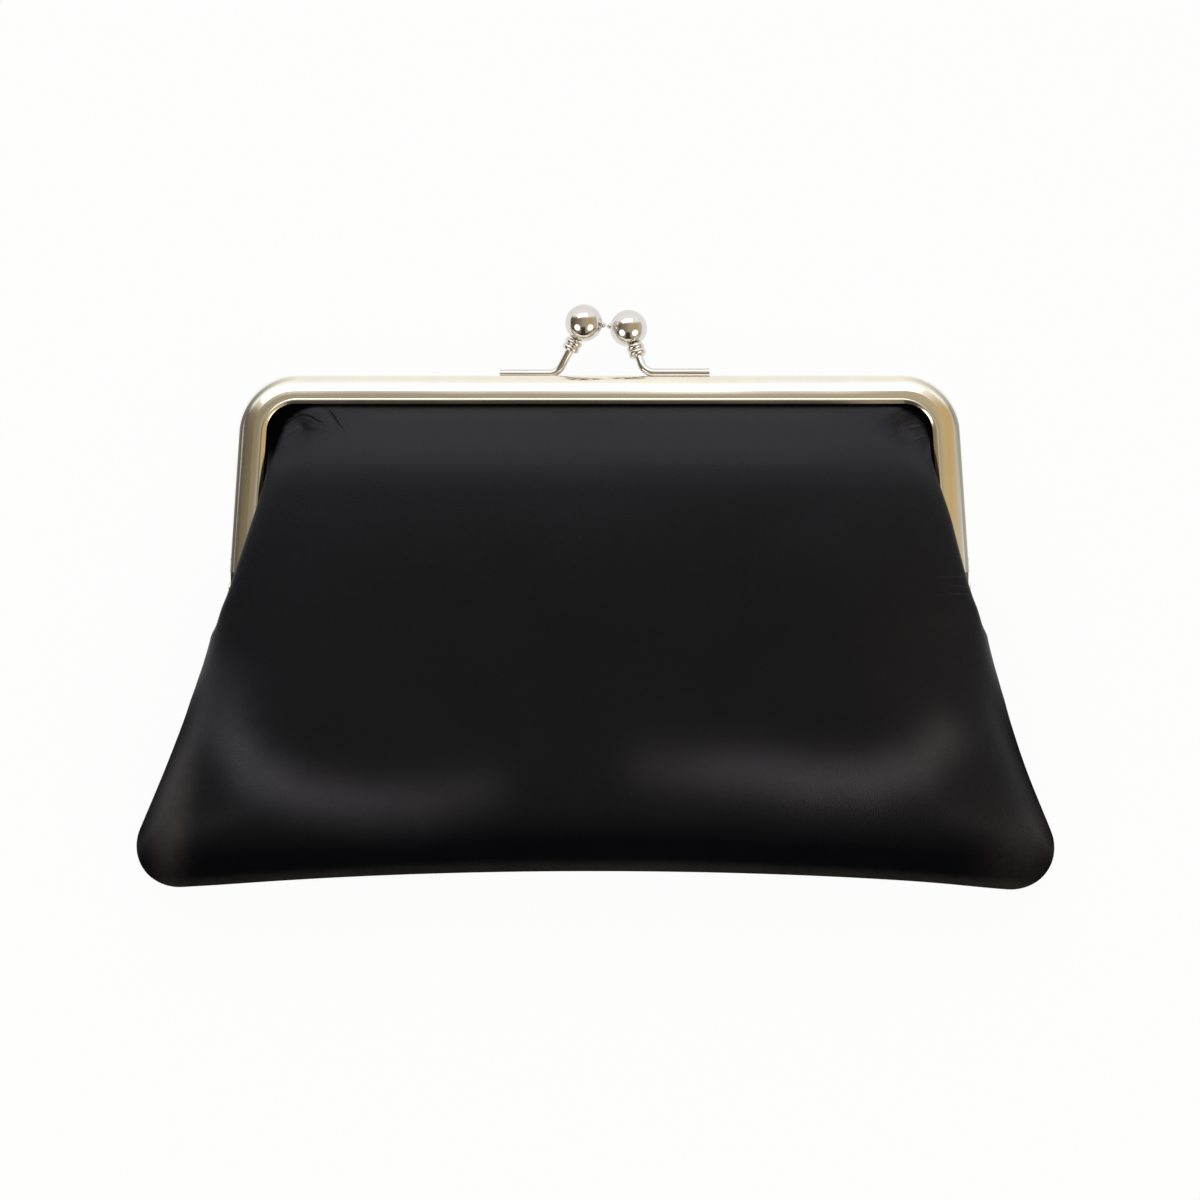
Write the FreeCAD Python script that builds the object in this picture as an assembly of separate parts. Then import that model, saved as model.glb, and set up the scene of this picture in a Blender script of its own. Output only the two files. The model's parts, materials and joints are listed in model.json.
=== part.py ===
import FreeCAD, Part

import math
import os

from FreeCAD import Placement, Rotation, Vector

os.makedirs("parts", exist_ok=True)

# The purse lies on its back: +X to the right, +Y towards the lock, +Z out of the front panel.
# All lengths are in millimetres.

# Frame halves: bent sheet channels that open towards the pouch
frame_width = 155.4
frame_drop = 44.9
leg_lean_deg = 3.8
corner_radius = 12.0
rail_width = 6.0
half_depth = 5.05
sheet = 0.8
front_round = 3.4
back_round = 0.6
lip_drop = 0.7
parting_gap = 0.3

# Hinge at the end of each leg
ear_radius = 3.0
ear_gap = 0.15
leg_end_gap = 0.8
ear_overlap = 3.0
ear_inset = 0.6
rivet_radius = 0.9
rivet_clearance = 0.06
rivet_head_radius = 1.9
rivet_head_height = 0.7
rivet_head_round = 0.5
rivet_end_play = 0.05
opening_deg = 60.0

# Kiss lock: ball, ferrule and bent wire post on each half
ball_radius = 3.92
ball_cross = 1.2
wire_radius = 0.88
wire_bend = 2.8
foot_flat = 0.2
foot_depth = 1.35
front_ball_x = 6.1
front_ball_rise = 10.2
front_bend_x = 9.4
front_foot_end = 23.0
rear_ball_x = -3.3
rear_ball_rise = 11.1
rear_bend_x = -8.8
rear_foot_end = -21.0
bead_height = 1.3
bead_radius = 1.9
bead_edge = 1.5
nib_radius = 0.6
nib_gap = 0.25
lock_fit = 0.03

# Leather, lining and paper cord
leather = 1.0
lining = 0.4
lining_gap = 0.2
soft_gap = 0.3
seat_gap = 0.06
tuck_depth = 3.0
lining_tuck = 2.6

# Pouch outline, seen from the front
pouch_width = 193.0
pouch_drop = 62.4
bottom_rise = 3.6
foot_corner = 9.5
neck_width = 141.0
neck_over = 0.8
neck_corner = 5.7
side_curve = 480.0

# Pouch fullness: height of each side and how far in its edges roll,
# in front as shares of half the pouch's width and of its height
front_bulge = 18.0
front_side_roll_share = 0.3316
front_top_roll_share = 0.49
front_bottom_roll_share = 0.255
rear_roll = 9.0
roll_angles_deg = (0.0, 18.0, 36.0, 54.0, 72.0, 90.0)

# Bend in the front panel at the hinge line
fold_margin_deg = 2.0
fold_split_deg = 0.4

# Length by which cutting bodies pass the faces that they cut
overrun = 1.0

# Distance within which the edges of a divided sheet count as one
divide_fit = 0.001

# Places worked out from the sizes above
lock_top_rise = frame_drop + rear_ball_rise + ball_radius
hinge_y = (pouch_drop - lock_top_rise) / 2
rail_top = hinge_y + frame_drop
mid_z = half_depth + parting_gap / 2 + soft_gap + leather
half_base = mid_z + parting_gap / 2
front_face = half_base + half_depth
rear_face = 2 * mid_z - front_face
half_width = frame_width / 2
leg_end_y = hinge_y + ear_radius + leg_end_gap
lean = math.radians(leg_lean_deg)
corner_y = rail_top - corner_radius
corner_x = half_width - (corner_y - hinge_y) * math.tan(lean) - corner_radius / math.cos(lean)
pouch_height = frame_drop - rail_width + neck_over + pouch_drop
reach = pouch_width
z_axis = Vector(0, 0, 1)
x_axis = Vector(1, 0, 0)
mid_point = Vector(0, 0, mid_z)
hinge_point = Vector(0, hinge_y, mid_z)

# The falling front of a channel is an arc from its crest to its lip
crown_run = rail_width - front_round
crown_radius = (crown_run ** 2 + lip_drop ** 2) / (2 * lip_drop)
inner_crown = crown_radius - sheet
crown_level = half_depth - crown_radius

# Levels in a channel, counted from the half's flat inner face
leather_top = crown_level + math.sqrt(inner_crown ** 2 - crown_run ** 2) - seat_gap
leather_base = leather_top - leather
lining_base = leather_base - lining - seat_gap
cord_base = sheet + seat_gap
cord_radius = (lining_base - seat_gap - cord_base) / 2


def save(shape, name):
    shape.exportStep("parts/" + name + ".step")


def block(low, high):
    size = high - low
    return Part.makeBox(size.x, size.y, size.z, low)


def mirror_x(shape):
    return shape.mirror(Vector(0, 0, 0), x_axis)


def to_rear(shape):
    """Turns a piece of the front half into the same piece of the rear half."""
    return shape.mirror(mid_point, z_axis)


def polar(centre, radius, angle):
    return centre + Vector(radius * math.cos(angle), radius * math.sin(angle), 0)


def arc(first, middle, last):
    return Part.Arc(first, middle, last).toShape()


def line(first, last):
    return Part.LineSegment(first, last).toShape()


# Frame halves

def rail_section(edge_points):
    """Closed face across the rail's left end, from edges given as points (depth from outside, level)."""
    def place(point):
        return Vector(-corner_x, rail_top - point[0], half_base + point[1])
    edges = []
    for points in edge_points:
        placed = [place(point) for point in points]
        edges.append(line(*placed) if len(placed) == 2 else arc(*placed))
    return Part.Face(Part.Wire(edges))


def outer_section():
    """The channel's outer shape: a small round at the back, a full round in front, a falling lip."""
    back_mid = back_round * (1 - math.cos(math.pi / 4))
    front_mid = front_round * (1 - math.cos(math.pi / 4))
    half_run = crown_run / 2
    half_run_level = crown_level + math.sqrt(crown_radius ** 2 - half_run ** 2)
    crest = (front_round, half_depth)
    lip = (rail_width, half_depth - lip_drop)
    return rail_section([
        [(rail_width, 0), (back_round, 0)],
        [(back_round, 0), (back_mid, back_mid), (0, back_round)],
        [(0, back_round), (0, half_depth - front_round)],
        [(0, half_depth - front_round), (front_mid, half_depth - front_mid), crest],
        [crest, (front_round + half_run, half_run_level), lip],
        [lip, (rail_width, 0)],
    ])


def channel_section():
    """The hollow of the channel, one sheet thickness inside the outer shape."""
    past = crown_run + overrun

    def crown_point(distance):
        return (front_round + distance, crown_level + math.sqrt(inner_crown ** 2 - distance ** 2))
    inner_round = front_round - sheet
    mid_depth = front_round - inner_round * math.cos(math.pi / 4)
    mid_level = half_depth - front_round + inner_round * math.sin(math.pi / 4)
    crest = (front_round, half_depth - sheet)
    return rail_section([
        [(rail_width + overrun, sheet), (sheet, sheet)],
        [(sheet, sheet), (sheet, half_depth - front_round)],
        [(sheet, half_depth - front_round), (mid_depth, mid_level), crest],
        [crest, crown_point(past / 2), crown_point(past)],
        [crown_point(past), (rail_width + overrun, sheet)],
    ])


def along_frame(section, end_y):
    """Carries a section along the rail, round both corners and down both legs."""
    turn_deg = 90 - leg_lean_deg
    centre = Vector(-corner_x, corner_y, 0)
    rail = section.extrude(Vector(2 * corner_x, 0, 0))
    corner = section.revolve(centre, z_axis, turn_deg)
    leg_section = section.copy()
    leg_section.rotate(centre, z_axis, turn_deg)
    leg_start = corner_y + corner_radius * math.sin(lean)
    leg_length = (leg_start - end_y) / math.cos(lean)
    leg = leg_section.extrude(Vector(-math.sin(lean), -math.cos(lean), 0) * leg_length)
    side = corner.fuse(leg)
    return rail.fuse([side, mirror_x(side)]).removeSplitter()


def ear(outside_x, pad_x):
    """Left hinge ear: a disc on a tongue that runs up into the leg, with a pad against the leg's wall."""
    disc = Part.makeCylinder(ear_radius, sheet, Vector(outside_x, hinge_y, mid_z), x_axis)
    tongue_top = leg_end_y + ear_overlap
    tongue = block(Vector(outside_x, hinge_y, half_base),
                   Vector(outside_x + sheet, tongue_top, mid_z + ear_radius))
    pad = block(Vector(pad_x, leg_end_y - leg_end_gap / 2, half_base),
                Vector(outside_x + sheet, tongue_top, mid_z + ear_radius))
    hole = Part.makeCylinder(rivet_radius + rivet_clearance, sheet + 2 * overrun,
                             Vector(outside_x - overrun, hinge_y, mid_z), x_axis)
    return disc.fuse([tongue, pad]).removeSplitter().cut(hole)


front_ear_x = -half_width + ear_inset
rear_ear_x = front_ear_x + sheet + ear_gap


def frame_half(ear_x):
    shell = along_frame(outer_section(), leg_end_y).cut(along_frame(channel_section(), leg_end_y - overrun))
    left = ear(ear_x, front_ear_x)
    return shell.fuse([left, mirror_x(left)]).removeSplitter()


def rivet_head(face_x, way):
    """Head with a rounded rim, seated at a face and standing out along +X or -X."""
    seat = Vector(face_x, hinge_y, mid_z)
    head = Part.makeCylinder(rivet_head_radius, rivet_head_height, seat, x_axis * way)
    far_x = face_x + way * rivet_head_height
    rim = [edge for edge in head.Edges if abs(edge.BoundBox.Center.x - far_x) < rivet_head_round / 2]
    return head.makeFillet(rivet_head_round, rim)


def hinge_rivet():
    """Left rivet: a shank through both ears, with a head outside and a closed head inside."""
    outside = front_ear_x - rivet_end_play
    inside = rear_ear_x + sheet + rivet_end_play
    shank = Part.makeCylinder(rivet_radius, inside - outside, Vector(outside, hinge_y, mid_z), x_axis)
    return shank.fuse([rivet_head(outside, -1), rivet_head(inside, 1)]).removeSplitter()


# Kiss lock

class Lock:
    """Places of one lock: foot along the rail's top, bend, and ball past the parting plane."""

    def __init__(self, ball_x, ball_rise, bend_x, foot_end, side):
        foot_y = rail_top + wire_radius - foot_flat
        foot_z = mid_z + side * (parting_gap / 2 + foot_depth)
        self.foot = Vector(foot_end, foot_y, foot_z)
        self.bend = Vector(bend_x, foot_y, foot_z)
        self.ball = Vector(ball_x, rail_top + ball_rise, mid_z - side * ball_cross)
        self.along = (self.bend - self.foot).normalize()
        self.up = (self.ball - self.bend).normalize()


front_lock = Lock(front_ball_x, front_ball_rise, front_bend_x, front_foot_end, 1)
rear_lock = Lock(rear_ball_x, rear_ball_rise, rear_bend_x, rear_foot_end, -1)
nib_meeting_x = (front_ball_x + rear_ball_x) / 2
nib_y = (front_lock.ball.y + rear_lock.ball.y) / 2


def lock_post(lock):
    """Bent wire: foot with a soldered flat, one bend, and a stem that ends in the ball."""
    turn = lock.along.getAngle(lock.up)
    tangent = wire_bend * math.tan(turn / 2)
    first = lock.bend - lock.along * tangent
    last = lock.bend + lock.up * tangent
    inward = (lock.up - lock.along).normalize()
    middle = lock.bend + inward * (wire_bend / math.cos(turn / 2) - wire_bend)
    path = Part.Wire([line(lock.foot, first), arc(first, middle, last), line(last, lock.ball)])
    ring = Part.Wire([Part.makeCircle(wire_radius, lock.foot, lock.along)])
    wire = path.makePipeShell([ring], True, False)
    low = min(lock.foot.x, lock.bend.x) - overrun
    high = max(lock.foot.x, lock.bend.x) + overrun
    under_rail = block(Vector(low, rail_top - overrun, rear_face), Vector(high, rail_top, front_face))
    return wire.cut(under_rail)


def lock_ball(lock):
    """Ball bored for its stem, with the small nib that catches on the other ball's nib."""
    ball = Part.makeSphere(ball_radius, lock.ball)
    towards = 1 if lock.ball.x < nib_meeting_x else -1
    tip_x = nib_meeting_x - towards * (nib_gap / 2 + nib_radius)
    root = Vector(lock.ball.x, nib_y, lock.ball.z)
    tip = Vector(tip_x, nib_y, lock.ball.z)
    nib = Part.makeCylinder(nib_radius, abs(tip_x - lock.ball.x), root, x_axis * towards)
    bore_start = lock.ball + lock.up * lock_fit
    bore = Part.makeCylinder(wire_radius + lock_fit, ball_radius + overrun, bore_start, lock.up * -1)
    return ball.fuse([nib, Part.makeSphere(nib_radius, tip)]).removeSplitter().cut(bore)


def lock_ferrule(lock):
    """Two stacked beads round the stem, against the ball."""
    bore = wire_radius + lock_fit

    def place(radius, height):
        return Vector(radius, 0, height)
    edges = [
        line(place(bore, 0), place(bead_edge, 0)),
        arc(place(bead_edge, 0), place(bead_radius, bead_height / 2), place(bead_edge, bead_height)),
        arc(place(bead_edge, bead_height), place(bead_radius, bead_height * 3 / 2),
            place(bead_edge, bead_height * 2)),
        line(place(bead_edge, bead_height * 2), place(bore, bead_height * 2)),
        line(place(bore, bead_height * 2), place(bore, 0)),
    ]
    beads = Part.Face(Part.Wire(edges)).revolve(Vector(0, 0, 0), z_axis, 360)
    seat = lock.ball - lock.up * (ball_radius + lock_fit)
    beads.Placement = Placement(seat, Rotation(z_axis, lock.up * -1))
    return beads


# Pouch

def frame_outline(depth, low_y):
    """Area inside the frame's outer line moved in by a depth, open legs closed at a low line."""
    radius = corner_radius - depth
    centre = Vector(-corner_x, corner_y, 0)
    foot_x = -half_width + (low_y - hinge_y) * math.tan(lean) + depth / math.cos(lean)
    foot = Vector(foot_x, low_y, 0)
    leg_top = polar(centre, radius, math.pi - lean)
    middle = polar(centre, radius, (math.pi - lean + math.pi / 2) / 2)
    rail_start = polar(centre, radius, math.pi / 2)

    def other(point):
        return Vector(-point.x, point.y, 0)
    return Part.Face(Part.Wire([
        line(foot, leg_top),
        arc(leg_top, middle, rail_start),
        line(rail_start, other(rail_start)),
        arc(other(rail_start), other(middle), other(leg_top)),
        line(other(leg_top), other(foot)),
        line(other(foot), foot),
    ]))


def raised(face, low_z, high_z):
    solid = face.extrude(Vector(0, 0, high_z - low_z))
    solid.translate(Vector(0, 0, low_z))
    return solid


def pouch_outline(side_in, top_in, bottom_in, level):
    """Outline of the pouch at one level, with its edges moved in by the given amounts."""
    neck = Vector(neck_width / 2 - side_in - neck_corner,
                  rail_top - rail_width + neck_over - top_in - neck_corner, level)
    foot = Vector(pouch_width / 2 - side_in - foot_corner,
                  hinge_y - pouch_drop + bottom_in + foot_corner, level)
    hem_y = hinge_y - pouch_drop + bottom_rise + bottom_in
    rise = foot.y - hem_y
    hem_radius = (foot.x ** 2 + rise ** 2 - foot_corner ** 2) / (2 * (foot_corner - rise))
    slope = foot - neck
    near = side_curve + neck_corner
    along = (near ** 2 - (side_curve + foot_corner) ** 2 + slope.Length ** 2) / (2 * slope.Length)
    across = math.sqrt(near ** 2 - along ** 2)
    down = slope / slope.Length
    outside = neck + down * along + Vector(-down.y, down.x, 0) * across
    neck_angle = math.atan2(outside.y - neck.y, outside.x - neck.x)
    foot_angle = math.atan2(outside.y - foot.y, outside.x - foot.x)
    hem_angle = math.atan2(hem_y - hem_radius - foot.y, -foot.x)
    points = [
        neck + Vector(0, neck_corner, 0),
        polar(neck, neck_corner, (math.pi / 2 + neck_angle) / 2),
        polar(neck, neck_corner, neck_angle),
        polar(outside, side_curve, math.pi + (neck_angle + foot_angle) / 2),
        polar(foot, foot_corner, foot_angle),
        polar(foot, foot_corner, (foot_angle + hem_angle) / 2),
        polar(foot, foot_corner, hem_angle),
    ]
    far = [Vector(-point.x, point.y, level) for point in points]
    hem = Vector(0, hem_y, level)
    return Part.Wire([
        line(far[0], points[0]),
        arc(points[0], points[1], points[2]),
        arc(points[2], points[3], points[4]),
        arc(points[4], points[5], points[6]),
        arc(points[6], hem, far[6]),
        arc(far[6], far[5], far[4]),
        arc(far[4], far[3], far[2]),
        arc(far[2], far[1], far[0]),
    ])


def pouch_body(inset, side):
    """Full body of one side of the pouch, from the seam plane to its crown."""
    height = mid_z
    side_roll = top_roll = bottom_roll = rear_roll
    if side > 0:
        height = front_bulge
        side_roll = front_side_roll_share * pouch_width / 2
        top_roll = front_top_roll_share * pouch_height
        bottom_roll = front_bottom_roll_share * pouch_height
    outlines = []
    for angle_deg in roll_angles_deg:
        angle = math.radians(angle_deg)
        rolled = 1 - math.cos(angle)
        wall = inset * math.cos(angle)
        level = mid_z + side * (height - inset) * math.sin(angle)
        outlines.append(pouch_outline(side_roll * rolled + wall, top_roll * rolled + wall,
                                      bottom_roll * rolled + wall, level))
    return Part.makeLoft(outlines, True, False)


def frame_room(inset, side):
    """Room that the frame, its ears and its rivets take out of the pouch."""
    low_y = hinge_y - ear_radius - soft_gap - inset
    low_z, high_z = mid_z - overrun, front_face + soft_gap + inset
    room = block(Vector(-reach, low_y, low_z), Vector(reach, reach, high_z))
    inside = frame_outline(rail_width + soft_gap + inset, low_y - overrun)
    window = raised(inside, low_z - overrun, high_z + overrun)
    room = room.cut(window)
    return room if side > 0 else to_rear(room)


def tucked_edge(outer_depth, inner_depth, base, thickness):
    """Edge of a sheet that runs round inside a channel of the front half."""
    low_z, high_z = half_base + base, half_base + base + thickness
    strip = raised(frame_outline(outer_depth, leg_end_y + overrun), low_z, high_z)
    inside = raised(frame_outline(inner_depth, leg_end_y - overrun), low_z - overrun, high_z + overrun)
    return strip.cut(inside)


def panel(inset, thickness, base, tuck, side):
    """One side of the pouch as a sheet, tucked into its half of the frame."""
    body = pouch_body(inset, side).cut(frame_room(inset, side))
    inside = pouch_body(inset + thickness, side).cut(frame_room(inset + thickness, side))
    neck_low = hinge_y - ear_radius - soft_gap - inset
    neck = block(Vector(-reach, neck_low, mid_z - overrun), Vector(reach, reach, half_base + base))
    edge = tucked_edge(rail_width - tuck, rail_width + soft_gap + inset + thickness, base, thickness)
    if side < 0:
        neck, edge = to_rear(neck), to_rear(edge)
    return body.cut(inside).cut(neck).fuse(edge).removeSplitter()


def hinge_sector(first_deg, last_deg):
    """Wedge of space between two planes through the hinge axis, angles counted from +Y towards +Z."""
    steps = 6
    corners = [hinge_point]
    for step in range(steps + 1):
        angle = math.radians(first_deg + (last_deg - first_deg) * step / steps)
        corners.append(hinge_point + Vector(0, math.cos(angle), math.sin(angle)) * reach)
    face = Part.Face(Part.makePolygon(corners + [hinge_point]))
    face.translate(Vector(-reach, 0, 0))
    return face.extrude(Vector(2 * reach, 0, 0))


def bending_parts(sheet_solid):
    """Upper part that opens with the front half, fold at the hinge line, and lower part that stays."""
    spread_deg = opening_deg / 2 + fold_margin_deg
    first_deg, last_deg = 90 - spread_deg, 90 + spread_deg
    fold_sector = hinge_sector(first_deg + fold_split_deg, last_deg - fold_split_deg)
    upper = sheet_solid.common([hinge_sector(-90, first_deg)], divide_fit)
    fold = sheet_solid.common([fold_sector], divide_fit)
    lower = sheet_solid.common([hinge_sector(last_deg, 270)], divide_fit)
    return upper, fold, lower


def paper_cord():
    """Round paper cord that wedges leather and lining in a channel of the front half."""
    depth = sheet + seat_gap + cord_radius
    level = cord_base + cord_radius
    centre = Vector(-corner_x, rail_top - depth, half_base + level)
    section = Part.Face(Part.Wire([Part.makeCircle(cord_radius, centre, x_axis)]))
    return along_frame(section, leg_end_y + ear_overlap + overrun)


lining_inset = leather + lining_gap
front_leather = panel(0, leather, leather_base, tuck_depth, 1)
front_lining = panel(lining_inset, lining, lining_base, lining_tuck, 1)

pieces = {
    "front_frame": frame_half(front_ear_x),
    "rear_frame": to_rear(frame_half(rear_ear_x)),
    "left_hinge_rivet": hinge_rivet(),
    "right_hinge_rivet": mirror_x(hinge_rivet()),
    "rear_panel": panel(0, leather, leather_base, tuck_depth, -1),
    "rear_lining": panel(lining_inset, lining, lining_base, lining_tuck, -1),
    "front_paper_cord": paper_cord(),
    "rear_paper_cord": to_rear(paper_cord()),
}
for half, lock in (("front", front_lock), ("rear", rear_lock)):
    pieces[half + "_lock_post"] = lock_post(lock)
    pieces[half + "_lock_ferrule"] = lock_ferrule(lock)
    pieces[half + "_lock_ball"] = lock_ball(lock)
for sheet_name, solid in (("front_panel", front_leather), ("front_lining", front_lining)):
    for part_name, part in zip(("upper", "fold", "lower"), bending_parts(solid)):
        pieces[sheet_name + "_" + part_name] = part

for name, shape in pieces.items():
    save(shape, name)
    print(name, shape.ShapeType, len(shape.Solids), shape.isValid(), round(shape.Volume))
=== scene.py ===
"""Looks of a kiss lock frame purse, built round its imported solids.

The purse lies on its back: +X to the right, +Y towards the lock, +Z out of the front panel, in metres.
"""

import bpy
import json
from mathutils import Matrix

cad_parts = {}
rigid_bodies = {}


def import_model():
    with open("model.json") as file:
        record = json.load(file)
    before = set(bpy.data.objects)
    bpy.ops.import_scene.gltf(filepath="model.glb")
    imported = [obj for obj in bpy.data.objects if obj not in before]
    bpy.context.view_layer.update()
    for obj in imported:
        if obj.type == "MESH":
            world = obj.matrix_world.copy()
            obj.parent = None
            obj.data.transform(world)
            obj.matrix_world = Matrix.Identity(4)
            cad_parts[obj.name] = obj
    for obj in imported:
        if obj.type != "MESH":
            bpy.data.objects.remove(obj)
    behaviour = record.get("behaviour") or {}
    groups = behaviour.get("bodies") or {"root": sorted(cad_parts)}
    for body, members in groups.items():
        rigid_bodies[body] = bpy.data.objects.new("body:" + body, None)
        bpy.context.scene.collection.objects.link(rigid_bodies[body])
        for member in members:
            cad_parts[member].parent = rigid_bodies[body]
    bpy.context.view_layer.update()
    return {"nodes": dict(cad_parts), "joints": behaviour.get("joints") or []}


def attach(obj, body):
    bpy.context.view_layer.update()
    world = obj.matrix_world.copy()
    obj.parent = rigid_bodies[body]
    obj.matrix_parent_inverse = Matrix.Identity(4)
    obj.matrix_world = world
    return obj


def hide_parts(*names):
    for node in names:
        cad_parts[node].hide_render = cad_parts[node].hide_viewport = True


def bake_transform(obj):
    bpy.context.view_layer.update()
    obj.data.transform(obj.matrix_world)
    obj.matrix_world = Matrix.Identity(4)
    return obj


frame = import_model()

import json
import math
from collections import namedtuple

import bpy
import numpy as np
from bpy.props import FloatProperty, FloatVectorProperty, IntProperty, PointerProperty
from bpy.types import Operator, Panel, PropertyGroup
from mathutils import Vector, noise

bl_info = {
    "name": "Kiss Lock Purse",
    "version": (1, 0, 0),
    "blender": (4, 5, 0),
    "location": "3D View > Sidebar > Purse",
    "description": "Dresses the solids of a kiss lock frame purse in leather, lining and plated metal",
    "category": "Object",
}

MM = 0.001
QUARTER = math.pi / 2
HINGE = Vector(frame["joints"][0]["pos_m"])
REAR_BODY = frame["joints"][0]["parent"]
FRONT_BODY = frame["joints"][0]["child"]


# Settings

def length(name, description, default):
    return FloatProperty(name=name, description=description, default=default, unit="LENGTH", precision=5)


def factor(name, description, default):
    return FloatProperty(name=name, description=description, default=default, subtype="FACTOR",
                         min=0.0, max=1.0)


def colour(name, description, default):
    return FloatVectorProperty(name=name, description=description, default=default, subtype="COLOR",
                               size=4, min=0.0, max=1.0)


class PurseFrameSettings(PropertyGroup):
    """Sizes of the channel frame that the leather is fitted to."""

    half_width: length("Half Width", "From the middle to the outside of a leg at the hinge", 77.7 * MM)
    rail_top: length("Rail Top", "Height of the rail's upper edge along Y", 46.14 * MM)
    corner: length("Corner Radius", "Outside radius of the frame's corners", 12.0 * MM)
    rail: length("Rail Width", "Width of rail and legs seen from the front", 6.0 * MM)
    parting: length("Parting Gap", "Gap between the two halves", 0.3 * MM)
    lean: FloatProperty(name="Leg Lean", description="How far the legs lean outwards",
                        default=math.radians(3.8), subtype="ANGLE")
    gold: colour("Plate", "Colour of the pale gold plate", (0.93, 0.88, 0.75, 1.0))
    nickel: colour("Lock Plate", "Colour of the nickel plate on the lock", (0.76, 0.73, 0.69, 1.0))


class PurseLeatherSettings(PropertyGroup):
    """Outline, fullness and finish of the leather pouch."""

    width: length("Pouch Width", "Width across the lower corners", 192.0 * MM)
    drop: length("Pouch Drop", "From the hinge down to the lower corners", 62.4 * MM)
    hem_rise: length("Hem Rise", "How far the middle of the hem stands above the corners", 4.0 * MM)
    foot_corner: length("Lower Corner", "Radius of the lower corners", 8.8 * MM)
    skew: length("Skew", "How far the lower corners hang to the left of the frame's middle", 1.36 * MM)
    right_foot: length("Right Corner", "How far the right lower corner is filled out", 1.6 * MM)
    neck_width: length("Neck Width", "Width of the outline at the rail", 141.0 * MM)
    neck_corner: length("Neck Corner", "Radius of the outline's upper corners", 5.7 * MM)
    neck_over: length("Neck Overlap", "How far the outline passes the lip at the seam plane", 0.8 * MM)
    side_curve: length("Side Curve", "Radius of the hollow sides", 370.0 * MM)
    bulge: length("Front Bulge", "Height of the front panel above the seam plane", 18.0 * MM)
    side_roll: length("Side Roll", "Distance over which the sides rise to the crown", 32.0 * MM)
    side_full: length("Side Fullness", "How far the sides stand out where they fold over the legs", 4.3 * MM)
    left_draw: length("Left Draw", "How far the left side is drawn in towards the rail", 3.2 * MM)
    right_draw: length("Right Draw", "How far the right side is drawn in towards the rail", 2.4 * MM)
    hollow: length("Corner Hollow", "How far the leather sinks behind the frame's corners", 2.0 * MM)
    nip: length("Hinge Nip", "How far the sides are drawn in at the hinge", 1.3 * MM)
    ease_rounds: IntProperty(name="Ease", description="Rounds in which the crown settles", default=20, min=0)
    top_roll: length("Top Roll", "Distance over which the neck rises to the crown", 50.0 * MM)
    hem_roll: length("Hem Roll", "Distance over which the hem rises to the crown", 24.0 * MM)
    rear_roll: length("Rear Roll", "Distance over which the rear panel rolls down to the table", 9.0 * MM)
    leather: length("Leather", "Thickness of the leather", 1.0 * MM)
    lining: length("Lining", "Thickness of the lining cloth", 0.35 * MM)
    cord_lay: length("Cord Lay", "Distance of each paper strand from the cord's middle", 0.22 * MM)
    cord_strand: length("Cord Strand", "Radius of a paper strand", 0.24 * MM)
    cord_pitch: length("Cord Pitch", "Length of one full twist of the paper cord", 4.2 * MM)
    black: colour("Leather Colour", "Colour of the leather", (0.0030, 0.0034, 0.0048, 1.0))
    gloss: factor("Gloss", "How strongly polished leather mirrors light", 0.17)
    polish: factor("Polish", "Further gloss where hands have polished it", 0.60)
    # Painted sheen: a lighter, cool tone laid on the leather's highlight patches
    bloom: colour("Wax Bloom", "Cool tone of the wax on handled patches", (0.010, 0.0115, 0.020, 1.0))
    sheen: colour("Sheen", "Tint of the light on the leather", (0.91, 0.90, 1.0, 1.0))
    # Partly the tone of worn leather, partly a painted sheen on the lower corners and a painted lift of the
    # dim hem
    worn: colour("Worn Edge", "Warm tone of rubbed edges and corners", (0.060, 0.054, 0.055, 1.0))
    cloth: colour("Lining Colour", "Colour of the lining twill", (0.035, 0.032, 0.034, 1.0))
    paper: colour("Paper Cord", "Colour of the twisted paper cord", (0.50, 0.38, 0.24, 1.0))


class PurseStageSettings(PropertyGroup):
    """Camera, floor and light."""

    pixel: length("Pixel", "Size of one picture pixel at the seam plane", 0.21 * MM)
    distance: length("Camera Distance", "From the camera to the seam plane", 620.0 * MM)
    centre_x: length("Centre X", "Where the picture's centre falls along X", 0.09 * MM)
    centre_y: length("Centre Y", "Where the picture's centre falls along Y", -0.82 * MM)
    frame_pixels: IntProperty(name="Picture Width", description="Pixels across the picture", default=1200)
    floor: colour("Floor", "Colour of the floor", (0.86, 0.86, 0.86, 1.0))


# Curves

def smooth(value, low, high):
    """Share that rises softly from 0 at one value to 1 at another."""
    share = np.clip((value - low) / (high - low), 0, 1)
    return share * share * (3 - 2 * share)


def bell(distance, reach):
    """Share that is 1 at no distance and fades with it."""
    return np.exp(-(distance / reach) ** 2)


def joined(first, second, share):
    return first * (1 - share) + second * share


def with_level(points, level):
    return np.column_stack([points, np.broadcast_to(level, len(points))])


def arc_points(centre, radius, first, last, count):
    """Points along an arc, without its last one."""
    angles = first + (last - first) * np.arange(count) / count
    return np.column_stack([centre[0] + radius * np.cos(angles), centre[1] + radius * np.sin(angles)])


def line_points(first, last, count):
    """Points along a line, without its last one."""
    shares = np.arange(count)[:, None] / count
    return joined(np.asarray(first), np.asarray(last), shares)


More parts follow.
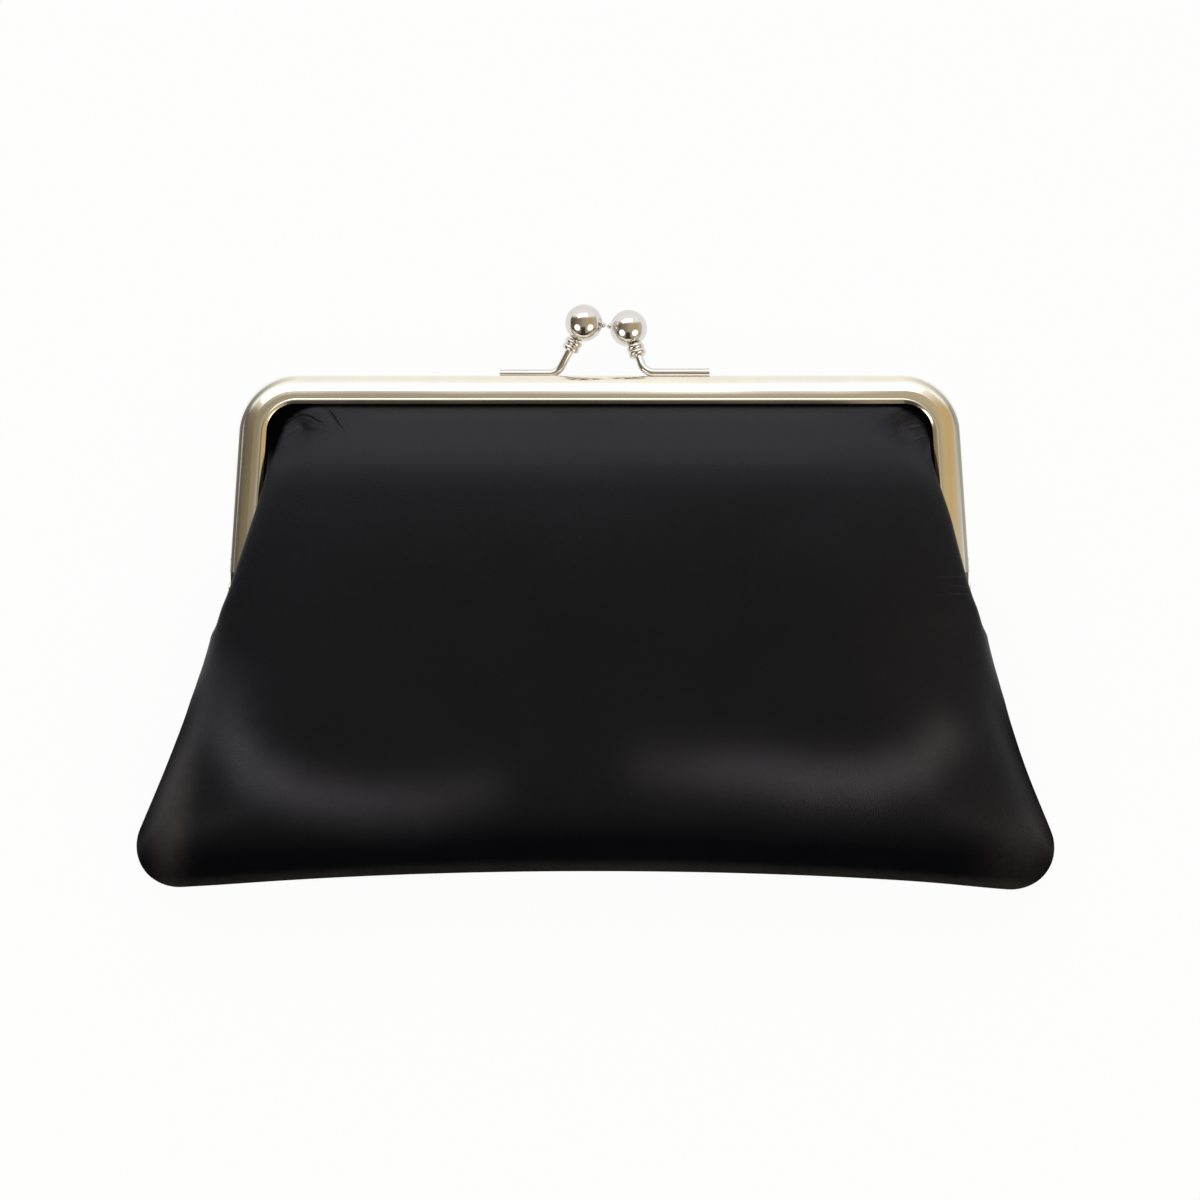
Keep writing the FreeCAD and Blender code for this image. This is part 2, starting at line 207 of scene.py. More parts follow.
def along_course(points, course):
    """Each point's signed distance from a broken line in plan, with its place along it from 0 to 1."""
    line = np.array(course) * MM
    steps = np.linalg.norm(np.diff(line, axis=0), axis=1)
    start = np.concatenate([[0], np.cumsum(steps)])
    best = np.full(len(points), np.inf)
    signed = np.zeros(len(points))
    place = np.zeros(len(points))
    for number, step in enumerate(steps):
        way = (line[number + 1] - line[number]) / step
        away = points - line[number]
        t = np.clip(away @ way, 0, step)
        far = np.linalg.norm(away - t[:, None] * way, axis=1)
        side = np.sign(way[0] * away[:, 1] - way[1] * away[:, 0])
        place = np.where(far < best, (start[number] + t) / start[-1], place)
        signed = np.where(far < best, far * side, signed)
        best = np.minimum(best, far)
    return signed, place


# Outlines of the pouch and the frame

TOP_COUNT = 136
ARC_COUNT = 24
SIDE_COUNT = 128
LOOP_COUNT = 2 * (TOP_COUNT + SIDE_COUNT + 2 * ARC_COUNT)
MIRROR = np.array([-1.0, 1.0])
# From the middle outwards, where the moves of the sides set in
OUTER_SPAN = (30 * MM, 60 * MM)
# Along Y from the hinge, where the nip sets in
NIP_SPAN = (-24 * MM, -8 * MM)

Circles = namedtuple("Circles", "neck foot outside hem hem_radius")


class PouchForm:
    """Sizes of frame and leather, and the lines that they give."""

    def __init__(self, scene):
        for group in (scene.purse_frame, scene.purse_leather):
            for name in type(group).__annotations__:
                setattr(self, name, getattr(group, name))
        self.neck_top = self.rail_top - self.rail + self.neck_over
        self.corner_y = self.rail_top - self.corner
        self.corner_x = self.leg_x(self.corner_y, self.corner)

    def leg_x(self, y, depth):
        """Place of the right leg's line along X, at a depth from its outside."""
        return self.half_width - (y - HINGE.y) * math.tan(self.lean) - depth / math.cos(self.lean)

    def edges(self, moved_in):
        """Circles that the outline runs along, moved in evenly or by distances for sides, top and hem."""
        side_in, top_in, hem_in = np.broadcast_to(moved_in, 3)
        neck = np.array([self.neck_width / 2 - side_in - self.neck_corner,
                         self.neck_top - top_in - self.neck_corner])
        foot = np.array([self.width / 2 - side_in - self.foot_corner,
                         HINGE.y - self.drop + hem_in + self.foot_corner])
        hem_y = HINGE.y - self.drop + self.hem_rise + hem_in
        rise = foot[1] - hem_y
        hem_radius = (foot[0] ** 2 + rise ** 2 - self.foot_corner ** 2) / (2 * (self.foot_corner - rise))
        run = np.linalg.norm(foot - neck)
        down = (foot - neck) / run
        near = self.side_curve + self.neck_corner
        along = (near ** 2 - (self.side_curve + self.foot_corner) ** 2 + run ** 2) / (2 * run)
        across = math.sqrt(near ** 2 - along ** 2)
        outside = neck + down * along + np.array([-down[1], down[0]]) * across
        return Circles(neck, foot, outside, np.array([0.0, hem_y - hem_radius]), hem_radius)

    def side_x(self, y, inset):
        """Place of the right side's line along X."""
        outside = self.edges(inset).outside
        return outside[0] - np.sqrt(self.side_curve ** 2 - (y - outside[1]) ** 2)

    def hem_y(self, x, inset):
        """Place of the hem's line along Y."""
        circles = self.edges(inset)
        return circles.hem[1] + np.sqrt(circles.hem_radius ** 2 - x ** 2)

    def nipped(self, y):
        """How far the sides are drawn in at the hinge and above it."""
        return self.nip * smooth(y - HINGE.y, *NIP_SPAN)

    def hung(self, y):
        """How far the leather hangs to the left."""
        return self.skew * smooth(HINGE.y - y, 0.0, self.drop)


def direction(first, second):
    """Angle of the way from one point to another."""
    return math.atan2(second[1] - first[1], second[0] - first[0])


def pouch_loop(form, moved_in):
    """Outline of the pouch with its edges moved in, from the neck's left end clockwise."""
    neck, foot, outside, hem, hem_radius = form.edges(moved_in)
    neck_angle = direction(neck, outside)
    foot_angle = direction(foot, outside)
    hem_half = QUARTER - direction(hem, foot)
    right = [
        arc_points(neck, form.neck_corner, QUARTER, neck_angle, ARC_COUNT),
        arc_points(outside, form.side_curve, math.pi + neck_angle, math.pi + foot_angle, SIDE_COUNT),
        arc_points(foot, form.foot_corner, foot_angle, direction(foot, hem), ARC_COUNT),
    ]
    top_y = neck[1] + form.neck_corner
    top = line_points((-neck[0], top_y), (neck[0], top_y), TOP_COUNT)
    low = arc_points(hem, hem_radius, QUARTER - hem_half, QUARTER + hem_half, TOP_COUNT)
    left = (np.vstack(right + [low[:1]]) * MIRROR)[::-1][:-1]
    loop = np.vstack([top] + right + [low, left])
    x, y = loop.T
    loop[:, 0] = x - np.sign(x) * form.nipped(y) * smooth(np.abs(x), *OUTER_SPAN)
    return loop


def frame_loop(form, depth, like):
    """Points of the frame's line at a depth from outside, matched one to one to an outline's points."""
    radius = form.corner - depth
    rail_y = form.rail_top - depth
    arc_end = TOP_COUNT + ARC_COUNT
    side_end = arc_end + SIDE_COUNT
    centre = (form.corner_x, form.corner_y)
    points = like.copy()
    points[:TOP_COUNT] = line_points((-form.corner_x, rail_y), (form.corner_x, rail_y), TOP_COUNT)
    points[TOP_COUNT:arc_end] = arc_points(centre, radius, QUARTER, form.lean, ARC_COUNT)
    side_y = like[arc_end:side_end, 1]
    leg_top = form.corner_y + radius * math.sin(form.lean)
    share = np.clip((side_y - side_y[-1]) / (side_y[0] - side_y[-1]), 0, 1)
    leg_y = side_y + (leg_top - side_y[0]) * share
    points[arc_end:side_end] = np.column_stack([form.leg_x(leg_y, depth), leg_y])
    for index in range(TOP_COUNT, side_end):
        points[(TOP_COUNT - index) % len(like)] = points[index] * MIRROR
    return points


def channel_path(form, depth, level, low_y, step):
    """Points along the inside of a channel, from the left leg over the rail to the right leg."""
    radius = form.corner - depth
    rail_y = form.rail_top - depth
    centre = np.array([form.corner_x, form.corner_y])
    leg_top = centre + radius * np.array([math.cos(form.lean), math.sin(form.lean)])
    leg_foot = np.array([form.leg_x(low_y, depth), low_y])
    right = np.vstack([
        arc_points(centre, radius, QUARTER, form.lean, int(radius * (QUARTER - form.lean) / step)),
        line_points(leg_top, leg_foot, int((leg_top[1] - low_y) / step)),
        [leg_foot],
    ])
    rail = line_points((-form.corner_x, rail_y), (form.corner_x, rail_y), int(2 * form.corner_x / step))
    left = (right * MIRROR)[::-1][:-1]
    return with_level(np.vstack([left, rail, right]), level)


# Rings of the leather panels

# Steps of the hidden edge in millimetres: how far in, and how high from the parting or the seam
TUCK_STEPS = ((3.4, 3.30), (5.0, 3.30), (6.0, 3.30), (6.42, 3.50), (6.55, 4.0))
SEAM_STEPS = ((5.0, 0.45), (3.0, 0.45), (1.6, 0.45), (1.0, 0.42), (0.75, 0.55))
SEAM_PARTING = 1.2 * MM
# Along Y, where the channel takes over from the seam, and where the seam parts
NECK_SPAN = (-7.6 * MM, -1.8 * MM)
PARTING_SPAN = (-18 * MM, -5 * MM)

WRAP_COUNT = 9
ROLL_COUNT = 5
FIRST_ROLL = math.radians(30)
LAST_ROLL = math.radians(38)
ROLL_STEP = math.radians(3)
# How far a turn reaches, as shares of its span, and at most where it passes over a leg
SEAM_LIFT_SHARE = 0.35
NECK_LIFT_SHARE = 0.14
LEG_LIFT_SHARE = 0.5
LEG_LIFT = 3.2 * MM
SEAM_PUSH_SHARE = 0.40
LEG_PUSH_SHARE = 0.52
LEG_PUSH = 3.4 * MM
OVER_LEG_SPAN = (3 * MM, 12 * MM)

REAR_ROLL_COUNT = 9
REAR_FIRST_ROLL = math.radians(50)
REAR_ROLL_STEP = math.radians(4)
REAR_LIFT_SHARE = 0.35
REAR_PUSH_SHARE = 0.42
REAR_TUCK = 6.6 * MM
REAR_TUCK_ROLL = 4 * MM

CORNER_POWER = 3.0
TURN_LIMIT = 1.2
# Heights of the front panel's edge above the seam plane, and its dip below the neck, behind the lip
LOW_SEAM = 2.0 * MM
LOW_NECK = 6.8 * MM
LIP_DIP = 2.4 * MM
LIP_SPAN = (-16 * MM, -2 * MM)

# Fullness at the hinge, and along Y or away from the side, where the side's moves set in
HIP_FULL = 0.55 * MM
HIP_Y = -4.5 * MM
HIP_REACH = 3.6 * MM
FULL_SPAN = (-26 * MM, -6 * MM)
LEFT_DRAW_SPAN = (-2 * MM, 40 * MM)
RIGHT_DRAW_SPAN = (14 * MM, 34 * MM)
FOLD_OVER_SPAN = (4 * MM, 30 * MM)

FOLD_LINES = (
    # points (x, y) in millimetres along the folds where the leather sinks behind the lip
    ((-69.2, 24.0), (-65.1, 35.6), (-62.9, 37.9), (-58.1, 39.9), (-50.0, 40.3)),
    ((56.0, 40.2), (62.4, 39.0), (66.0, 37.0), (67.6, 34.5), (69.2, 29.5)),
)
FOLD_FADE = 0.25
SINK_SPAN = (-0.1 * MM, 0.7 * MM)
SINK_END_SPAN = (8 * MM, 12 * MM)


def wrap_rings(start, before, end, tangent, lift, push):
    """Rings of a smooth turn from the ring `start`, left along its last step, to the ring `end`."""
    leave = start - before
    leave /= np.linalg.norm(leave, axis=1)[:, None]
    tangent = tangent / np.linalg.norm(tangent, axis=1)[:, None]
    first = start + leave * lift
    second = end - tangent * push
    shares = [step / WRAP_COUNT for step in range(1, WRAP_COUNT + 1)]
    return [start * (1 - t) ** 3 + first * 3 * t * (1 - t) ** 2 + second * 3 * t * t * (1 - t) + end * t ** 3
            for t in shares]


def edge_rings(form, inset, way):
    """Hidden rings of a panel: tucked in the channel along the neck, turned in at the seam below it."""
    seam_loop = pouch_loop(form, inset)
    neck = smooth(seam_loop[:, 1], *NECK_SPAN)[:, None]
    parted = SEAM_PARTING * smooth(seam_loop[:, 1], *PARTING_SPAN)
    rings = []
    for (tuck_in, tuck_rise), (sewn_in, sewn_rise) in zip(TUCK_STEPS, SEAM_STEPS):
        tuck_level = HINGE.z + way * (form.parting / 2 + tuck_rise * MM - inset)
        tucked = with_level(frame_loop(form, tuck_in * MM + inset, seam_loop), tuck_level)
        sewn_level = HINGE.z + way * (sewn_rise * MM + parted)
        sewn = with_level(pouch_loop(form, sewn_in * MM + inset), sewn_level)
        rings.append(joined(sewn, tucked, neck))
    return rings, seam_loop, neck


def front_height(form, inset, plan, sunk):
    """Height of the front panel over its plan, where its three rolls meet in soft corners."""
    x, y = np.abs(plan[..., 0]), plan[..., 1]
    bulge = form.bulge - inset
    turned = [np.clip(1 - distance / roll, 0, TURN_LIMIT) for distance, roll in (
        (form.side_x(y, inset) - form.nipped(y) - x, form.side_roll),
        (form.neck_top - inset - y, form.top_roll),
        (y - form.hem_y(x, inset), form.hem_roll),
    )]
    share = np.minimum(sum(turn ** CORNER_POWER for turn in turned) ** (1 / CORNER_POWER), 1.0)
    rise = bulge * np.sqrt(1 - share ** 2)
    low = joined(LOW_SEAM, LOW_NECK, smooth(y, *NECK_SPAN)) - inset
    low = low - LIP_DIP * smooth(y - form.neck_top, *LIP_SPAN) - form.hollow * sunk
    return HINGE.z + np.sqrt(rise ** 2 + low ** 2 * (1 - (rise / bulge) ** 2))


def swollen(form, plan, from_side):
    """Plan with its sides standing out above the hinge, where the leather folds over the legs."""
    x, y = plan[..., 0], plan[..., 1]
    drawn = np.where(x < 0, form.left_draw * smooth(y, *LEFT_DRAW_SPAN),
                     form.right_draw * smooth(y, *RIGHT_DRAW_SPAN))
    full = form.side_full * smooth(y, *FULL_SPAN) + HIP_FULL * bell(y - HIP_Y, HIP_REACH) - drawn
    outer = (1 - smooth(from_side, *FOLD_OVER_SPAN)) * smooth(np.abs(x), *OUTER_SPAN)
    moved = plan.copy()
    moved[..., 0] += np.sign(x) * full * outer
    return moved


def hollowed(plan):
    """Share to which the leather sinks out of sight, beyond its fold lines in the frame's upper corners."""
    points = plan.reshape(-1, 2)
    share = np.zeros(len(points))
    for course in FOLD_LINES:
        signed, place = along_course(points, course)
        ends = smooth(place, 0.0, FOLD_FADE) * (1 - smooth(place, 1 - FOLD_FADE, 1.0))
        sunk = smooth(signed, *SINK_SPAN) * ends * (1 - smooth(signed, *SINK_END_SPAN))
        share = np.maximum(share, sunk)
    return share.reshape(plan.shape[:-1])


def front_plan(form, inset, angle):
    """Plan of the ring at which the front panel has turned up by an angle."""
    out = 1 - math.cos(angle)
    wall = inset * math.cos(angle)
    return pouch_loop(form, [roll * out + wall for roll in (form.side_roll, form.top_roll, form.hem_roll)])


def front_rings(form, inset):
    """Rings of the front panel's outer face, from its hidden edge to the start of its crown."""
    rings, seam_loop, neck = edge_rings(form, inset, 1)

    def rolled(angle):
        plan = front_plan(form, inset, angle)
        shown = swollen(form, plan, form.side_roll * (1 - math.cos(angle)))
        return with_level(shown, front_height(form, inset, plan, hollowed(shown)))
    end = rolled(FIRST_ROLL)
    tangent = rolled(FIRST_ROLL + ROLL_STEP) - end
    span = np.linalg.norm(end - rings[-1], axis=1)[:, None]
    over_leg = neck * smooth(form.neck_top - seam_loop[:, 1], *OVER_LEG_SPAN)[:, None]
    lift = joined(joined(SEAM_LIFT_SHARE, NECK_LIFT_SHARE, neck) * span,
                  np.minimum(LEG_LIFT, LEG_LIFT_SHARE * span), over_leg)
    push = joined(SEAM_PUSH_SHARE * span, np.minimum(LEG_PUSH, LEG_PUSH_SHARE * span), over_leg)
    rings += wrap_rings(rings[-1], rings[-2], end, tangent, lift, push)
    rings += [rolled(angle) for angle in np.linspace(FIRST_ROLL, LAST_ROLL, ROLL_COUNT + 1)[1:]]
    return rings


def rear_rings(form, inset):
    """Rings of the rear panel's outer face, which stays inside the legs and lies flat on the table."""
    rings, seam_loop, neck = edge_rings(form, inset, -1)

    def rolled(angle):
        out = 1 - math.cos(angle)
        wall = inset * math.cos(angle)
        level = HINGE.z - (HINGE.z - inset) * math.sin(angle)
        sewn = with_level(pouch_loop(form, form.rear_roll * out + wall), level)
        tucked = with_level(frame_loop(form, REAR_TUCK + REAR_TUCK_ROLL * out + wall, seam_loop), level)
        return joined(sewn, tucked, neck)
    end = rolled(REAR_FIRST_ROLL)
    tangent = rolled(REAR_FIRST_ROLL + REAR_ROLL_STEP) - end
    span = np.linalg.norm(end - rings[-1], axis=1)[:, None]
    rings += wrap_rings(rings[-1], rings[-2], end, tangent, REAR_LIFT_SHARE * span, REAR_PUSH_SHARE * span)
    rings += [rolled(angle) for angle in np.linspace(REAR_FIRST_ROLL, QUARTER, REAR_ROLL_COUNT + 1)[1:]]
    return rings


# Filled panels and their meshes

SETTLE_PACE = 0.23
SETTLE_RIM = 16 * MM
FOOT_SPREAD = 1.6
FOOT_WAY = np.array([0.8, -0.6])
EASE_RING = len(TUCK_STEPS) + 4
EASE_FADE = 6
EASE_SHARE = 0.5
EASE_ROUNDS = 24


def ring_sides(count):
    """Indices of a ring's points along its four sides, between the middles of its corners."""
    across = TOP_COUNT + ARC_COUNT
    down = SIDE_COUNT + ARC_COUNT
    corner = count - ARC_COUNT // 2
    top = [(corner + i) % count for i in range(across + 1)]
    right = [(corner + across + j) % count for j in range(down + 1)]
    hem = [(corner + 2 * across + down - i) % count for i in range(across + 1)]
    left = [(corner - j) % count for j in range(down + 1)]
    return top, right, hem, left


def filled(loop):
    """Grid of points that fills a ring evenly between its four sides, and the ring index of its rim."""
    top, right, hem, left = ring_sides(len(loop))
    u = np.linspace(0, 1, len(top))[None, :, None]
    v = np.linspace(0, 1, len(left))[:, None, None]
    corners = ((1 - u) * (1 - v) * loop[top[0]] + u * (1 - v) * loop[top[-1]]
               + (1 - u) * v * loop[hem[0]] + u * v * loop[hem[-1]])
    grid = ((1 - v) * loop[top][None] + v * loop[hem][None]
            + (1 - u) * loop[left][:, None] + u * loop[right][:, None] - corners)
    index = np.full((len(left), len(top)), -1)
    index[0], index[-1], index[:, 0], index[:, -1] = top, hem, left, right
    return grid, index


def settled(grid, rounds):
    """Heights of a grid that has settled as a stretched hide does, with its rim held."""
    rows, columns = grid.shape[:2]
    height = grid[..., 2].copy()
    across = np.linalg.norm(np.diff(grid[rows // 2, :, :2], axis=0), axis=1).mean()
    down = np.linalg.norm(np.diff(grid[:, columns // 2, :2], axis=0), axis=1).mean()
    side = (min(across, down) / across) ** 2
    along = (min(across, down) / down) ** 2
    row, column = np.ogrid[:rows, :columns]
    rim = np.minimum(np.minimum(row, rows - 1 - row) * down,
                     np.minimum(column, columns - 1 - column) * across)
    pace = SETTLE_PACE * smooth(rim, 0, SETTLE_RIM)[1:-1, 1:-1]
    for _ in range(rounds):
        inner = height[1:-1, 1:-1]
        change = (side * (height[1:-1, 2:] + height[1:-1, :-2] - 2 * inner)
                  + along * (height[2:, 1:-1] + height[:-2, 1:-1] - 2 * inner))
        height[1:-1, 1:-1] = inner + pace * change
    return height


def crown(form, inset):
    """Crown of the front panel: plan filled from its last ring, with its height settled."""
    grid, index = filled(with_level(front_plan(form, inset, LAST_ROLL), 0.0))
    plan = grid[..., :2]
    shown = swollen(form, plan, form.side_x(plan[..., 1], inset) - np.abs(plan[..., 0]))
    grid[..., 2] = front_height(form, inset, plan, hollowed(shown))
    grid[..., 2] = settled(grid, form.ease_rounds)
    grid[..., :2] = shown
    return grid, index


def sheet_mesh(name, rings, grid, index, flip):
    """Mesh of a panel's outer face from its rings and its filled middle."""
    count = len(rings[0])
    ring = np.arange(len(rings) * count).reshape(-1, count)
    after = np.roll(ring, -1, axis=1)
    rows, columns = index.shape
    index = index + (len(rings) - 1) * count
    middle = np.arange((rows - 2) * (columns - 2)).reshape(rows - 2, columns - 2)
    index[1:-1, 1:-1] = ring.size + middle
    faces = np.vstack([np.stack(corners, axis=-1).reshape(-1, 4) for corners in (
        (after[:-1], ring[:-1], ring[1:], after[1:]),
        (index[1:, :-1], index[1:, 1:], index[:-1, 1:], index[:-1, :-1]),
    )])
    if flip:
        faces = faces[:, ::-1]
    verts = np.vstack(rings + [grid[1:-1, 1:-1].reshape(-1, 3)])
    mesh = bpy.data.meshes.new(name)
    mesh.from_pydata(verts.tolist(), [], faces.tolist())
    mesh.update()
    return mesh


def front_mesh(name, form, inset):
    return skewed(form, sheet_mesh(name, front_rings(form, inset), *crown(form, inset), False))


def rear_mesh(name, form, inset):
    rings = rear_rings(form, inset)
    return skewed(form, sheet_mesh(name, rings, *filled(rings[-1]), True))


def skewed(form, mesh):
    """Hangs a panel slightly to the left below the hinge and fills out its right lower corner."""
    points = point_values(mesh, "co")
    points[:, 0] -= form.hung(points[:, 1])
    away = (points[:, :2] - form.edges(0.0).foot) / form.foot_corner
    near = np.exp(-(away ** 2).sum(axis=1) / FOOT_SPREAD)
    points[:, :2] += near[:, None] * form.right_foot * FOOT_WAY
    set_points(mesh, points)
    return mesh


def point_values(mesh, kind):
    flat = np.empty(len(mesh.vertices) * 3)
    mesh.vertices.foreach_get(kind, flat)
    return flat.reshape(-1, 3)


def set_points(mesh, points):
    mesh.vertices.foreach_set("co", points.ravel())
    mesh.update()


def store(mesh, name, values):
    mesh.attributes.new(name, "FLOAT", "POINT").data.foreach_set("value", np.asarray(values, np.float32))


def store_rest(mesh):
    """Keeps each point's place at rest, for finishes that stay on the sheet as it bends."""
    places = point_values(mesh, "co").ravel()
    mesh.attributes.new("rest", "FLOAT_VECTOR", "POINT").data.foreach_set("vector", places)


def add_piece(name, mesh, material):
    piece = bpy.data.objects.new(name, mesh)
    bpy.context.scene.collection.objects.link(piece)
    mesh.materials.append(material)
    mesh.shade_smooth()
    return piece


def baked(piece):
    """Turns a piece's modifiers into plain mesh."""
    graph = bpy.context.evaluated_depsgraph_get()
    shaped = piece.evaluated_get(graph)
    mesh = bpy.data.meshes.new_from_object(shaped, preserve_all_data_layers=True, depsgraph=graph)
    mesh.name = piece.name
    piece.modifiers.clear()
    piece.data = mesh
    return piece


def relaxed(piece):
    """Smooths a sheet from where it leaves the channel inwards."""
    free = piece.vertex_groups.new(name="free")
    total = len(piece.data.vertices)
    for step in range(EASE_FADE + 1):
        start = (EASE_RING + step) * LOOP_COUNT
        free.add(list(range(start, total)), (step + 1) / (EASE_FADE + 1), "REPLACE")
    ease = piece.modifiers.new("Ease", "SMOOTH")
    ease.vertex_group = free.name
    ease.factor = EASE_SHARE
    ease.iterations = EASE_ROUNDS
    baked(piece)
    piece.vertex_groups.clear()
    return piece


def thicken(piece, thickness):
    wall = piece.modifiers.new("Thickness", "SOLIDIFY")
    wall.thickness = thickness
    wall.offset = -1.0
    wall.use_even_offset = False
    return baked(piece)


# Creases, waves and handled places of the front panel

CREASES = (
    # points (x, y), depth (a raised line's is negative) and half width in millimetres, and its layer
    (((-64.6, 36.3), (-62.4, 37.5), (-61.3, 37.7), (-59.7, 37.0), (-58.2, 36.1)), 0.24, 0.24, 0),
    (((61.7, 33.5), (64.4, 35.0), (67.5, 35.5)), -0.10, 0.26, 0),
    (((69.8, 17.1), (67.3, 14.4), (65.4, 11.0)), -0.06, 0.25, 0),
    (((69.2, 3.8), (72.5, 3.9), (75.2, 3.6)), -0.08, 0.20, 0),
    (((-56.8, 39.1), (-55.4, 37.5), (-54.3, 35.9), (-53.5, 34.8)), 0.24, 0.22, 1),
    (((63.2, 31.1), (66.0, 32.7), (67.9, 33.3)), -0.06, 0.26, 1),
    (((72.0, 1.9), (74.5, 1.9), (76.7, 1.5)), -0.10, 0.20, 1),
    (((-63.2, 38.3), (-61.1, 39.3), (-58.6, 39.8)), 0.18, 0.30, 2),
    (((-65.8, 32.3), (-63.7, 33.9), (-60.8, 34.6), (-57.5, 33.9)), 0.08, 0.40, 2),
    (((60.2, 35.7), (63.1, 37.3), (66.0, 38.2)), -0.08, 0.30, 2),
    (((70.5, 0.2), (73.8, 0.4), (76.7, 0.1)), -0.08, 0.20, 2),
    (((-80.8, -56.1), (-79.8, -58.3)), 0.06, 0.18, 2),
)
LAYERS = 3
FAR_RATIO = 9.0
CREASE_ENDS = (0.02, 0.98)
CREASE_FADE_SPAN = (1.4 * MM, 2.6 * MM)
# The soft dent round a crease: shares of the depth for it and its rim, least half width in millimetres
DENT_SHARE = 0.6
DENT_RIM_SHARE = 0.45
DENT_WIDTH = 0.9

WAVES = (
    # turns for each metre along X and Y, level in the noise, height
    (26, 34, 4.2, 0.45 * MM),
    (75, 95, 9.1, 0.10 * MM),
)
# Above the seam plane, where waves and creases set in, and along Y, where creases show at any height
WAVE_SPAN = (8 * MM, 14 * MM)
CREASE_SPAN = (3.6 * MM, 5.0 * MM)
LOW_CREASE_SPAN = (-30 * MM, -10 * MM)

POLISH_AND_PAINTED_SHEEN = (
    # points (x, y) along a polished patch with painted sheen in millimetres, its strength from end to end,
    # half width
    (((-77.0, -17.0), (-76.3, -28.4), (-71.2, -35.6), (-61.0, -40.2), (-48.6, -42.3), (-36.3, -42.5),
      (-24.0, -39.8)), (0.3, 1.0, 0.9, 0.75, 0.6, 0.3), 5.0),
    (((70.2, -29.5), (65.0, -34.6), (55.0, -37.7), (43.1, -37.7), (31.2, -36.0), (19.4, -35.6),
      (10.8, -35.2)), (0.6, 1.0, 1.0, 0.8, 0.35), 5.2),
)
# Gloss and painted sheen along the neck, and along Y where they set in
TOP_POLISH_AND_PAINTED_SHEEN = 0.25
TOP_POLISH_AND_PAINTED_SHEEN_SPAN = (20 * MM, 32 * MM)
RUBBED_AND_PAINTED_SHEEN = (
    # middle and reach of a rubbed corner with painted sheen along X and Y in millimetres, its lean along Y,
    # strength
    ((-81.5, -45.0), (3.8, 13.0), 0.12, 1.0),
    ((90.0, -52.0), (8.0, 9.0), 0.0, 0.5),
)
# Lighter rim along the hem: partly wear, partly painted light that lifts the dim hem
RUBBED_AND_PAINTED_SHEEN_HEM = 0.45
RUBBED_AND_PAINTED_SHEEN_HEM_SPAN = (0.5 * MM, 3 * MM)
LOWER_SPAN = (-30 * MM, -8 * MM)
MATTE_HEM_SPAN = (6 * MM, 16 * MM)
MATTE_SIDE_SPAN = (0.0, 5 * MM)


def creased(mesh, shown):
    """Presses the creases softly into a panel and stores what its finish needs to draw them sharply, with
    painted shade in their dents.
    """
    points = point_values(mesh, "co")
    press = np.zeros(len(points))
    nearest = np.full((LAYERS, len(points)), np.inf)
    ratio = np.full((LAYERS, len(points)), FAR_RATIO)
    strength = np.zeros((LAYERS, len(points)))
    for course, depth, half, layer in CREASES:
        signed, place = along_course(points[:, :2], course)
        far = np.abs(signed)
        taper = np.sqrt(np.sin(np.pi * np.clip(place, *CREASE_ENDS)))
        soft = max(2 * half, DENT_WIDTH) * MM
        dent = DENT_RIM_SHARE * bell(far - 2 * soft, soft) - bell(far, soft)
        press += DENT_SHARE * depth * MM * taper * dent
        close = far < nearest[layer]
        sharp = depth * taper * (1 - smooth(far, *CREASE_FADE_SPAN))
        ratio[layer] = np.where(close, signed / (half * MM), ratio[layer])
        strength[layer] = np.where(close, sharp, strength[layer])
        nearest[layer] = np.minimum(nearest[layer], far)
    for layer in range(LAYERS):
        store(mesh, f"fold_{layer}", np.clip(ratio[layer], -FAR_RATIO, FAR_RATIO))
        store(mesh, f"fold_{layer}_depth", strength[layer] * shown)
    return press * shown


def sculpted(mesh, form):
    """Adds creases and slow waves to the front panel's outer face."""
    points = point_values(mesh, "co")
    above = points[:, 2] - HINGE.z
    shown = np.maximum(smooth(above, *CREASE_SPAN), 1 - smooth(points[:, 1], *LOW_CREASE_SPAN))
    press = creased(mesh, shown)
    for turns_x, turns_y, level, height in WAVES:
        wave = np.array([noise.noise(Vector((x * turns_x, y * turns_y, level))) for x, y, _ in points])
        press += smooth(above, *WAVE_SPAN) * height * wave
    set_points(mesh, points + point_values(mesh, "normal") * press[:, None])
    store_marks(mesh, form, points[:, :2])


